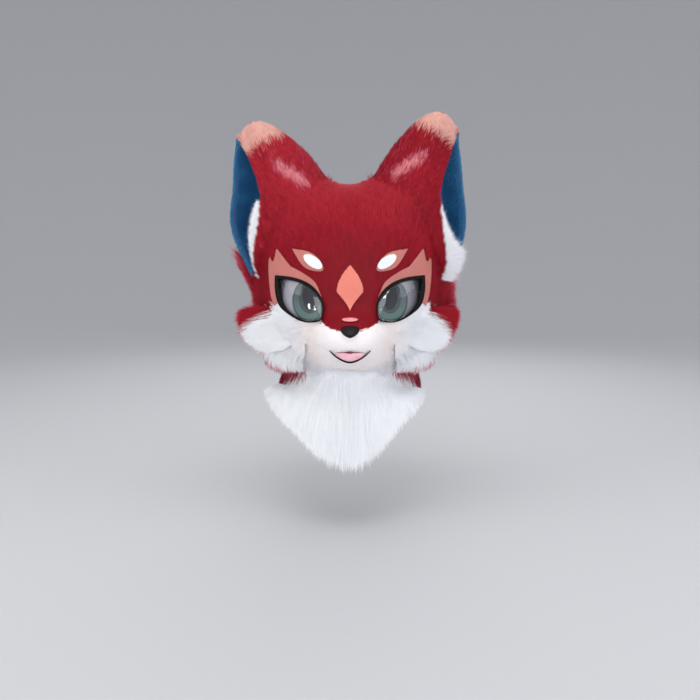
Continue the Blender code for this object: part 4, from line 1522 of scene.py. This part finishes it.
        # columns: piece, its blades, width of a blade, slot
        groups = (("head_fur_red", front & ~white, 0.00095, "red_fur"),
                  ("head_fur_white", front & white, 0.00095, "white_fur"),
                  ("head_fur_back", ~front, 0.0013, "red_fur"))
        for name, mask, width, slot in groups:
            pile = Pile(width, spread=0.11, gather=0.18)
            MAKER.fur(name, roots.keep(mask), coat.keep(mask), pile, slot, rng, locks)

    def build(self) -> None:
        """Build the head's pieces."""
        outer = self.coat_grid()
        self.skin(outer)
        self.fur(outer)


@dataclass
class Patches:
    """Plush patches sewn on the face, with the length of their blades and how many to a square metre."""

    length: float = 0.0030
    per_area: float = 2.2e6

    def grow(self, name: str, outer: Array, sign: float, dye: Dye, slot: str, seed: int) -> None:
        """Cover a patch's face with short blades."""
        rng = np.random.default_rng(SEED + seed)
        surface = Surface(outer, sign)
        roots = surface.scatter(int(surface.cells().sum() * self.per_area), rng)
        roots.up = FORM.up(roots.at)
        count = len(roots.at)
        shade = 0.5 + 0.1 * Drift(0.05, 8).value(roots.at) + rng.normal(0, 0.12, count)
        comb = away_from_nose(roots.at, roots.up)
        length, lean, dyes = (np.full(count, value) for value in (self.length, 0.82, dye.place))
        coat = Coat(comb, length, lean, dyes, shade)
        pile = Pile(width=0.0007, spread=0.10, gather=0.08)
        MAKER.fur(f"{name}_pile", roots, coat, pile, slot, rng, Drift(0.012, 5))

    def disc(self, name: str, outline: Array, centre: Array, levels: Pair, dye: Dye,
             slot: str, seed: int) -> None:
        """Build a patch inside an outline between two levels over the skin, with its plush."""
        closed = np.concatenate([outline, outline[:1]])
        outer = patch_grid(closed, centre, 10, levels[1])
        inner = patch_grid(closed, centre, 2, levels[0])
        MAKER.sheet(name, outer[:, :-1], inner[:, :-1], "fur", True, dye)
        self.grow(name, outer, 1.0, dye, slot, seed)

    def build(self) -> None:
        """Build the diamond, and the eyelids, brow leaves and ovals of both sides."""
        cloth = (FACE_SEAT, PATCH_TOP)
        oval = (PATCH_TOP + 0.0006, SPOT_TOP)
        middle = np.array((0.0, MARKS.diamond_widest))
        self.disc("forehead_diamond", MARKS.diamond(), middle, cloth, Dye.CORAL, "peach_plush", 1)
        for number, (name, side) in enumerate(SIDES.items()):
            lid = EYE.lid(side)
            outer = band_grid(*lid, 10, PATCH_TOP)
            inner = band_grid(*lid, 2, FACE_SEAT)
            MAKER.sheet(f"eyelid_{name}", outer, inner, "fur", dye=Dye.SALMON)
            self.grow(f"eyelid_{name}", outer, side, Dye.SALMON, "peach_plush", 10 + number)
            centre = np.array(EYE.spot_centre) * (side, 1.0)
            leaf, spot = EYE.leaf(side), EYE.spot(side)
            self.disc(f"brow_patch_{name}", leaf, centre, cloth, Dye.SALMON, "peach_plush", 20 + number)
            self.disc(f"brow_spot_{name}", spot, centre, oval, Dye.WHITE, "white_fur", 30 + number)


@dataclass
class Eye:
    """One eye: printed layers in its socket, a clear dome and a black felt rim."""

    name: str
    side: float
    dome_rise: float = 0.005
    lash: float = 0.0022
    rings: int = 14
    bottom: float = -0.0082
    # section of the rim
    # columns: share of the way from its outer edge to the socket, height over the skin
    section: tuple[Pair, ...] = (
        (0.00, 0.0006), (0.00, 0.0030), (0.10, 0.0043), (0.30, 0.0050), (0.60, 0.0049),
        (0.88, 0.0042), (1.00, 0.0028), (1.00, -0.0020), (1.00, -0.0082),
    )

    def disc(self, kind: str, outline: Array, centre: Array, low: float, high: float, finish: str,
             slot: str, rise: float = 0.0, hollow: bool = False) -> None:
        """Build one layer of the eye inside an outline."""
        outer = patch_grid(outline, centre, self.rings, high, rise)
        inner = patch_grid(outline, centre, self.rings if hollow else 2, low, rise * hollow)
        MAKER.sheet(f"{kind}_{self.name}", outer, inner, finish, True)

    def clipped(self, outline: Array, centre: Array, hole: Array) -> Array:
        """Draw an outline's points in towards its centre until they lie inside the hole."""
        share = np.linspace(0.02, 1, 120)
        trial = centre + share[None, :, None] * (outline - centre)[:, None]
        good = inside(trial.reshape(-1, 2), hole).reshape(len(outline), -1)
        last = good.shape[1] - 1 - np.argmax(good[:, ::-1], axis=1)
        return trial[np.arange(len(outline)), last]

    def rim(self) -> None:
        """Build the rim: its section goes up its outer side, rounds over and falls down the socket."""
        outline, width = EYE.edge(self.side)
        outline = inset(outline, -self.lash * ease(width, 0.0020, 0.0060))
        hole = EYE.hole(self.side)
        section = np.array(self.section)
        flat = outline[None] + section[:, :1, None] * (hole - outline)[None]
        outer = FORM.face(flat, section[:, 1:])
        back = inset(hole, -0.0006)
        inner_flat = np.stack([outline + 0.02 * (hole - outline), back, back])
        inner = FORM.face(inner_flat, np.array([[0.0002], [0.0002], [self.bottom]]))
        MAKER.sheet(f"eye_rim_{self.name}", outer, inner, "black_felt", True)

    def build(self) -> None:
        """Build the eye's layers, dome and rim."""
        flip = np.array((self.side, 1.0))
        hole = EYE.hole(self.side)
        snug = inset(hole, 0.0005)
        centres = (EYE.centre, EYE.iris_centre, EYE.pupil_centre)
        centre, iris_centre, pupil_centre = (np.array(place) * flip for place in centres)
        inner_edge = inset(hole, 0.0006)
        iris = self.clipped(ellipse(iris_centre, EYE.iris_half, 90), iris_centre, inner_edge)
        pupil = self.clipped(ellipse(pupil_centre, EYE.pupil_half, 64), pupil_centre, inner_edge)
        self.disc("eye_base", snug, centre, self.bottom, -0.0066, "eye_white", "eye_print")
        self.disc("eye_iris", iris, iris_centre, -0.0062, -0.0056, "iris", "iris_print")
        self.disc("eye_pupil", pupil, pupil_centre, -0.0054, -0.0050, "pupil", "pupil_print")
        self.disc("eye_dome", snug, centre, -0.0010, 0.0010, "dome", "clear_dome", self.dome_rise, True)
        self.rim()


class Muzzle:
    """Nose pad, bar on the bridge, smile line, tongue and the dark line over it."""

    def build(self) -> None:
        """Build the five pieces."""
        outline = MARKS.nose()
        middle = np.array((0.0, outline[:, 1].mean()))
        share = np.linspace(0, 1, 25)[:, None]
        dome = NOSE_SEAT + 0.0004 + (MARKS.nose_rise + 0.0008) * np.sqrt(1 - share**2.6)
        outer = patch_grid(outline, middle, 24, dome)
        inner = patch_grid(outline, middle, 2, NOSE_SEAT)
        MAKER.sheet("nose", outer, inner, "nose_cloth", True)
        bar_centre = np.array((0.0, MARKS.bar_centre))
        bar = ellipse(bar_centre, MARKS.bar_half, 48)
        outer = patch_grid(bar, bar_centre, 8, 0.0030, 0.0008)
        inner = patch_grid(bar, bar_centre, 2, NOSE_SEAT)
        MAKER.sheet("nose_bar", outer, inner, "bar_cloth", True)
        low, high = MARKS.lip()
        share = np.linspace(0, 1, 9)[:, None]
        outer = band_grid(low, high, 8, 0.0030 + 0.0016 * np.sin(math.pi * share))
        inner = band_grid(low, high, 2, 0.0008)
        MAKER.sheet("lip_line", outer, inner, "black_felt")
        low, high = MARKS.tongue()
        outer = band_grid(low, high, 12, 0.0022)
        inner = band_grid(low, high, 2, 0.0008)
        MAKER.sheet("tongue", outer, inner, "tongue_cloth")
        low, high = MARKS.upper_lip()
        outer = band_grid(low, high, 6, 0.0036)
        inner = band_grid(low, high, 2, 0.0016)
        MAKER.sheet("upper_lip", outer, inner, "lip_cloth", stands_for=())


@dataclass
class Fan:
    """A fan of long fur locks between a root curve and a tip curve.

    Its surface is start + (end - start) a, lifted along the normal by lift 4 a (1 - a). Rows with a
    below zero lie on the skin in front of the root, so that the long fur rises out of the short.

    Args:
        reach: share of the way to the tip that a blade spans.
        tip_depth: share of the way that the tips' dye takes.
        red_top: share of the width that is red at the top.
        uneven: share by which locks differ in reach.
        full, solid: places where the longest locks and the core end.
        lead: how far the hair starts before the root.
        trim: share of the width at the top without hair before the root.
        splay: how far the outermost blades turn outwards.
    """

    name: str
    start: Array
    end: Array
    side: float
    thickness: float
    locks: int
    lift: float
    strands: int
    reach: float = 0.50
    dyes: tuple[Dye, Dye] = (Dye.WHITE, Dye.WHITE)
    tip_depth: float = 0.16
    slot: str = "white_fur"
    width: float = 0.0013
    droop: float = 0.06
    red_top: float = 0.0
    uneven: float = 0.14
    full: float = 1.08
    stray: float = 0.06
    seed: int = 0
    lead: float = 0.28
    solid: float = 0.58
    trim: float = 0.0
    splay: float = 0.35
    across: int = 64
    along: int = 22
    front_share: float = 0.80

    def build(self) -> None:
        """Build the core, which is short of the tips, and its long fur on both faces."""
        rng = np.random.default_rng(SEED + self.seed)
        start, end = smooth(self.start, self.across), smooth(self.end, self.across)
        a = np.linspace(-self.lead, self.full, self.along)
        shape = start + (end - start) * a[:, None, None]
        normal = unit(np.cross(np.gradient(shape, axis=1), np.gradient(shape, axis=0)) * self.side)
        lift = self.lift * 4 * np.clip(a, 0, 1) * np.clip(1 - a, 0, 1)
        shape = FORM.clear(shape + normal * lift[:, None, None], 0.0008)
        own = ease(a, -self.lead - 0.01, 0.0)[:, None, None]
        normal = unit(FORM.up(shape) * (1 - own) + normal * own)
        edge = np.sin(np.linspace(0.10, math.pi - 0.10, self.across)) ** 0.5
        depth = self.thickness * 0.8 * ease(a, -0.06, 0.42) * np.clip(1 - a, 0, 1) ** 0.6
        body = depth[:, None] * edge
        outer = FORM.clear(shape + normal * (0.0004 + body)[..., None], 0.0012)
        core = (a >= -0.04) & (a <= self.solid)
        MAKER.sheet(self.name, outer[core], shape[core], "fur", dye=self.dyes[0])
        upper = int(self.strands * self.front_share)
        parts = [self.hair(outer, normal, a, -self.lead, upper, rng),
                 self.hair(shape, -normal, a, 0.0, self.strands - upper, rng)]
        line, up, dye, shade = (np.concatenate(pair) for pair in zip(*parts))
        pile = Pile(self.width, joints=2, calm=0.95)
        MAKER.blades(f"{self.name}_fur", line, up, dye, shade, pile, self.slot, rng)

    def hair(self, face: Array, normal: Array, a: Array, lowest: float, count: int,
             rng: Chance) -> tuple[Array, Array, Array, Array]:
        """Lay hair along one face of the fan: it follows the face to the tip curve and lifts off it.

        Args:
            face: grid of the face, as rows from root to tip.
            normal: its normals.
            a: the rows' places from root (0) to tip (1).
            lowest: place of the first row that hair grows on.
            count: how many blades.
            rng: source of chance.

        Returns:
            The blades' middle lines, ways up, dyes and shades.
        """
        first = int(np.argmax(a >= lowest))
        last = int(np.argmax(a > self.solid)) + 1
        roots = Surface(face[first:last]).scatter(count, rng)
        share = np.interp(roots.row + first, np.arange(len(a)), a)
        kept = (share > 0) | (roots.column > self.trim * self.across)
        roots, share = roots.keep(kept), share[kept]
        count = len(share)
        wander = Drift(0.024, self.seed + 5).value(roots.at)
        pitch = (self.across - 1) / self.locks
        own = roots.column + pitch * 0.9 * wander
        lock = np.floor(own / pitch)
        centre = (lock + 0.5) * pitch
        uneven = np.random.default_rng(self.seed).uniform(0.0, self.uneven, 400)[lock.astype(int) + 100]
        fray = 0.12 * (np.abs(own - centre) / pitch * 2) ** 1.5
        goal = self.full - fray - uneven - rng.uniform(0, 0.20, count) ** 1.2
        swing = self.reach * (0.45 + 0.55 * ease(share, -self.lead, 0.1))
        tip_share = np.minimum(share + swing * rng.uniform(0.62, 1.05, count), goal)
        t = np.linspace(0, 1, 3)[None, :]
        row = np.interp(share[:, None] + (tip_share - share)[:, None] * t, a, np.arange(len(a)))
        pull = (centre - own)[:, None] * 0.45 * t**1.3
        column = np.clip(roots.column[:, None] + pull, 0, self.across - 1.001)
        surface = Surface(face)
        line = surface.sample(face, row.ravel(), column.ravel()).reshape(count, 3, 3)
        up = unit(surface.sample(normal, row.ravel(), column.ravel())).reshape(count, 3, 3)
        size = np.linalg.norm(line[:, 2] - line[:, 0], axis=-1)
        rise = size * rng.uniform(0.02, 0.17, count)
        line = line + up * (rise[:, None] * t**1.5)[..., None]
        stray = rng.normal(0, self.stray, (count, 1, 3)) * size[:, None, None]
        line[:, 1:] += stray * np.array([0.4, 1.0])[:, None]
        line[:, :, 2] -= (self.droop * size)[:, None] * t**2
        place = roots.column / (self.across - 1)
        sideways = unit(surface.sample(np.gradient(face, axis=1), row[:, 0], column[:, 0]))
        off = place - 0.5
        splay = np.sign(off) * ease(np.abs(off), 0.40, 0.50) * rng.uniform(0, self.splay, count)
        line += sideways[:, None] * (splay * size)[:, None, None] * t[..., None] ** 1.5
        near_tip = tip_share > 1 - self.tip_depth * rng.uniform(0.5, 1.6, count)
        tipped = near_tip & (rng.random(count) < 0.75)
        dye = np.where(tipped, self.dyes[1].place, self.dyes[0].place)
        place = place + rng.normal(0, 0.050, count)
        over = place < self.red_top * np.clip(tip_share, 0, 1) + 0.06
        red = np.where(tipped, Dye.ROSE.place, Dye.RED.place)
        dye = np.where(over & (self.red_top > 0), red, dye)
        shade = 0.66 + 0.07 * wander + rng.normal(0, 0.08, count)
        return line, up[:, 0], dye, shade


def rooted(table: Sequence[Sequence[float]], side: float, level: float = 0.001) -> tuple[Array, Array]:
    """Return the root and tip curves of a fan on the head.

    Args:
        table: rows of root angle, root z, tip angle, tip z, tip distance from the axis.
        side: -1 for the left side, 1 for the right.
        level: height of the root curve over the skin.

    Returns:
        Points on the skin, and the tips that lie at their distance from the vertical axis.
    """
    root_angle, root_z, tip_angle, tip_z, distance = smooth(table, 40).T
    start = FORM.around(np.radians(root_angle) * side, root_z, level)
    turn = np.radians(tip_angle) * side
    end = np.stack([distance * np.sin(turn), -distance * np.cos(turn), tip_z], -1)
    return start, end


# the fans' tables, with angles in degrees from the front
# columns: root angle, root z, tip angle, tip z, tip distance from the axis
CHEEK_FLUFF = {
    "left": (
        (60, -0.212, 82, -0.230, 0.222),
        (56, -0.235, 80, -0.258, 0.216),
        (51, -0.258, 74, -0.288, 0.200),
        (44, -0.276, 64, -0.306, 0.174),
    ),
    "right": (
        (60, -0.212, 82, -0.230, 0.214),
        (56, -0.235, 80, -0.256, 0.206),
        (51, -0.258, 74, -0.286, 0.194),
        (44, -0.276, 64, -0.304, 0.172),
    ),
}
JAW_FLUFF = (
    (72, -0.284, 78, -0.320, 0.162),
    (58, -0.287, 64, -0.331, 0.168),
    (44, -0.291, 50, -0.335, 0.158),
    (30, -0.298, 34, -0.328, 0.146),
)
BIB = (
    (58, -0.368, 66, -0.394, 0.156),
    (40, -0.360, 38, -0.430, 0.160),
    (16, -0.354, 19, -0.478, 0.156),
    (-4, -0.352, -3, -0.514, 0.152),
    (-24, -0.354, -26, -0.478, 0.158),
    (-48, -0.360, -50, -0.430, 0.164),
    (-66, -0.368, -75, -0.392, 0.174),
)
SIDE_LOCK = {
    "left": (
        (106, -0.205, 108, -0.106, 0.258),
        (103, -0.222, 104, -0.185, 0.214),
        (98, -0.240, 98, -0.228, 0.202),
    ),
    "right": (
        (106, -0.195, 106, -0.142, 0.230),
        (103, -0.215, 103, -0.190, 0.224),
        (98, -0.240, 93, -0.244, 0.222),
    ),
}
# places of the roots run along the ear's edge, from the front foot (0) to the back foot (1)
# columns: place of the root, tip x, y, z
EAR_TUFT = {
    "left": (
        (0.27, 0.1740, -0.0420, -0.0160),
        (0.19, 0.1860, -0.0400, -0.0560),
        (0.12, 0.1880, -0.0340, -0.1000),
        (0.03, 0.1820, -0.0280, -0.1560),
    ),
    "right": (
        (0.26, 0.1690, -0.0440, -0.0260),
        (0.17, 0.1880, -0.0440, -0.0660),
        (0.10, 0.2180, -0.0360, -0.1120),
        (0.03, 0.2060, -0.0310, -0.1620),
    ),
}


@dataclass
class Fluffs:
    """All the long fur: cheeks, jaw, side locks, ear tufts and bib."""

    ears: dict[str, Ear]

    def tuft(self, name: str, side: float) -> Fan:
        """Return the fan of white fur on the front edge of an ear."""
        ear = self.ears[name]
        rows = np.array(EAR_TUFT[name])
        edge = ear.surface[-1] + ear.onward * 0.002 - np.array((0.004 * side, 0.003, 0.0))
        places = rows[:, 0] * (len(edge) - 1)
        start = np.stack([np.interp(places, np.arange(len(edge)), edge[:, k]) for k in range(3)], -1)
        end = rows[:, 1:] * (side, 1, 1)
        return Fan(f"ear_tuft_{name}", start, end, side, thickness=0.006, locks=6, lift=0.006,
                   strands=5200, reach=0.75, dyes=(Dye.WHITE, Dye.LILAC), tip_depth=0.06,
                   width=0.0011, uneven=0.26, stray=0.15, seed=90 + int(side), lead=0.0, solid=0.40)

    def build(self) -> None:
        """Build every fan."""
        for name, side in SIDES.items():
            start, end = rooted(CHEEK_FLUFF[name], side)
            Fan(f"cheek_fluff_{name}", start, end, side, thickness=0.024, locks=9, lift=0.004,
                strands=13500, dyes=(Dye.WHITE, Dye.BLUSH), tip_depth=0.06, lead=0.34, trim=0.10,
                red_top=0.46 + 0.10 * side, seed=70 + int(side)).build()
            start, end = rooted(JAW_FLUFF, side, 0.010)
            Fan(f"jaw_fluff_{name}", start, end, side, thickness=0.020, locks=8, lift=0.008,
                strands=11000, reach=0.60, dyes=(Dye.WHITE, Dye.BLUSH), tip_depth=0.10, lead=0.7,
                seed=74 + int(side)).build()
            start, end = rooted(SIDE_LOCK[name], side)
            Fan(f"side_lock_{name}", start, end, side, thickness=0.015, locks=4, lift=0.002,
                strands=7000, reach=0.60, dyes=(Dye.RED, Dye.ROSE), tip_depth=0.10, slot="red_fur",
                width=0.0015, uneven=0.08, full=1.03, seed=78 + int(side)).build()
            self.tuft(name, side).build()
        start, end = rooted(BIB, 1.0)
        Fan("bib", start, end, 1.0, thickness=0.021, locks=21, lift=0.010, strands=27500, reach=0.36,
            width=0.0014, droop=0.02, uneven=0.17, full=1.13, stray=0.08, seed=86, lead=0.50,
            solid=0.70, splay=0.7, across=120, along=40).build()


@dataclass
class Collar:
    """Soft neck with long fur: white in front, rose and red round the sides and back."""

    strands: int = 12500

    def build(self) -> None:
        """Build the neck's wall and its fur."""
        rng = np.random.default_rng(SEED + 100)
        angle = np.linspace(-math.pi, math.pi, 161)
        z = np.linspace(NECK_SPLIT_Z - 0.0003, NECK_RIM_Z, 16)[:, None]
        outer = FORM.around(angle[None], z, 0.0)
        inner = FORM.around(angle[None], z[::5], -COLLAR_WALL)
        angles = np.degrees(np.abs(angle[:-1]))
        dye = np.where(angles < 34, Dye.CREAM.place, Dye.DEEP_RED.place)
        dye = np.broadcast_to(dye, (len(outer), len(dye)))
        wall = MAKER.sheet("neck_collar", outer[:, :-1], inner[:, :-1], "fur", True, dye,
                           inner_finish="lining_cloth")
        grid = FORM.around(angle[None], np.linspace(-0.326, NECK_RIM_Z, 16)[:, None], 0.0)
        roots = Surface(grid, -1.0).scatter(self.strands, rng)
        roots.up = FORM.up(roots.at)
        count = len(roots.at)
        turn = front_angle(roots.at) + rng.normal(0, 4, count)
        front = 66 + rng.normal(0, 12, count)
        bib = lookup(turn, BIB_LINE) + rng.normal(0, 0.003, count)
        white = (roots.at[:, 2] < bib) & (turn < 74)
        dye = np.where(turn < front, Dye.ROSE.place, Dye.DEEP_RED.place)
        dye = np.where(white, Dye.WHITE.place, dye)
        drift = Drift(0.03, 31)
        comb = flat_way(-UPWARD + 0 * roots.up, roots.up)
        shade = 0.5 + 0.2 * drift.value(roots.at) + rng.normal(0, 0.15, count)
        length = 0.026 - 0.014 * ease(-roots.at[:, 2], 0.350, 0.400)
        coat = Coat(comb, length, np.full(count, 0.82), dye, shade)
        pile = Pile(width=0.0018, spread=0.08, gather=0.14, droop=0.05, joints=2)
        MAKER.fur("neck_fur", roots, coat, pile, "red_fur", rng, drift)


@dataclass(frozen=True)
class Lamp:
    """A square soft light aimed at the head, or a window: one that only shows as a glint in the eyes."""

    name: str
    place: Triple
    size: float
    watts: float
    colour: Triple = (1.0, 1.0, 1.0)
    window: bool = False


@dataclass(frozen=True)
class Studio:
    """Pale backdrop, soft lights and the camera."""

    focal_pixels: float = 714.0
    image_width: float = 700.0
    sensor: float = 36.0
    target: Triple = (0.0, -0.165, -0.283)
    distance: float = 1.25
    elevation: float = math.radians(8)
    aim: Triple = (0.0, -0.08, -0.2)
    floor_z: float = -0.62
    floor_radius: float = 2.6
    bend: float = 3.4
    lamps: tuple[Lamp, ...] = (
        Lamp("top", (0.0, -0.9, 1.9), 1.5, 20.0, (1.0, 0.99, 0.98)),
        Lamp("left", (-1.9, -1.0, 0.5), 1.2, 13.0, (1.0, 0.98, 0.96)),
        Lamp("right", (1.9, -0.9, 0.3), 1.2, 11.0, (0.94, 0.97, 1.0)),
        Lamp("fill", (0.0, -2.0, -0.45), 1.2, 22.0),
        Lamp("back", (0.2, 1.7, 1.0), 1.4, 12.0),
        Lamp("window_left", (-0.800, -1.20, -0.576), 0.060, 2.2, window=True),
        Lamp("window_middle", (-0.540, -1.40, -0.560), 0.050, 1.6, window=True),
        Lamp("window_high", (-0.480, -1.90, 0.410), 0.120, 4.5, window=True),
        Lamp("window_right", (0.366, -1.90, 0.106), 0.170, 15.0, window=True),
        Lamp("window_brow", (0.600, -1.90, 0.500), 0.140, 9.0, window=True),
    )

    def backdrop(self) -> None:
        """Build a round bowl: a level floor that bends up along a quarter circle into its wall."""
        bend = np.linspace(0, math.pi / 2, 24)
        radius = np.append(0.01, self.floor_radius + self.bend * np.sin(bend))[:, None]
        z = np.append(0.0, self.bend * (1 - np.cos(bend)))[:, None] + self.floor_z
        turn = np.linspace(0, 2 * math.pi, 96, endpoint=False)
        grid = np.stack([radius * np.cos(turn), radius * np.sin(turn), z + 0 * turn], -1)
        numbers = np.arange(grid.size // 3).reshape(grid.shape[:2])
        following = np.roll(numbers, -1, axis=1)
        quads = np.stack([numbers[:-1], numbers[1:], following[1:], following[:-1]], -1).reshape(-1, 4)
        faces = quads.tolist() + [numbers[0].tolist()]
        mesh = bpy.data.meshes.new("backdrop")
        mesh.from_pydata(grid.reshape(-1, 3).tolist(), [], faces)
        mesh.polygons.foreach_set("use_smooth", np.ones(len(faces), bool))
        bench = Bench("backdrop")
        bench.set(Base_Color=(0.55, 0.555, 0.57), Roughness=0.9, Specular_IOR_Level=0.1)
        mesh.materials.append(bench.material)
        item = bpy.data.objects.new("backdrop", mesh)
        bpy.context.scene.collection.objects.link(item)

    def build(self) -> None:
        """Build the backdrop, the lights, the world and the camera."""
        self.backdrop()
        for lamp in self.lamps:
            light = bpy.data.lights.new(lamp.name, "AREA")
            light.size = lamp.size
            light.energy = lamp.watts
            light.color = lamp.colour
            item = bpy.data.objects.new(lamp.name, light)
            item.location = lamp.place
            ray = Vector(self.aim) - Vector(lamp.place)
            item.rotation_euler = ray.to_track_quat("-Z", "Y").to_euler()
            item.visible_diffuse = not lamp.window
            bpy.context.scene.collection.objects.link(item)
        world = bpy.data.worlds.new("studio")
        world.use_nodes = True
        sky = world.node_tree.nodes["Background"].inputs
        sky["Color"].default_value = (0.93, 0.95, 1.0, 1.0)
        sky["Strength"].default_value = 0.70
        bpy.context.scene.world = world
        bpy.context.scene.view_settings.view_transform = "Standard"
        lens = bpy.data.cameras.new("camera")
        lens.sensor_width = self.sensor
        lens.lens = self.focal_pixels / self.image_width * self.sensor
        camera = bpy.data.objects.new("camera", lens)
        ahead = Vector((0.0, math.cos(self.elevation), -math.sin(self.elevation)))
        camera.location = Vector(self.target) - ahead * self.distance
        camera.rotation_euler = ahead.to_track_quat("-Z", "Y").to_euler()
        bpy.context.scene.collection.objects.link(camera)
        bpy.context.scene.camera = camera


def main() -> None:
    """Build the scene in order and report each piece."""
    logging.basicConfig(level=logging.INFO, format="%(relativeCreated)6.0f ms %(message)s")
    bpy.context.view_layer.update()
    Studio().build()
    left = Ear("left", -1.0, tip_rise=0.000, flare=0.004, tip_lean=0.009, more_join=0.024)
    right = Ear("right", 1.0, tip_rise=0.017, flare=-0.004, tip_lean=0.003, more_join=0.042)
    ears = {"left": left, "right": right}
    Head(ears).build()
    Collar().build()
    Patches().build()
    for name, side in SIDES.items():
        Eye(name, side).build()
    Muzzle().build()
    for ear in ears.values():
        ear.build()
    Fluffs(ears).build()
    LOG.info("all pieces: %d triangles", MAKER.triangles)


if __name__ == "__main__":
    main()
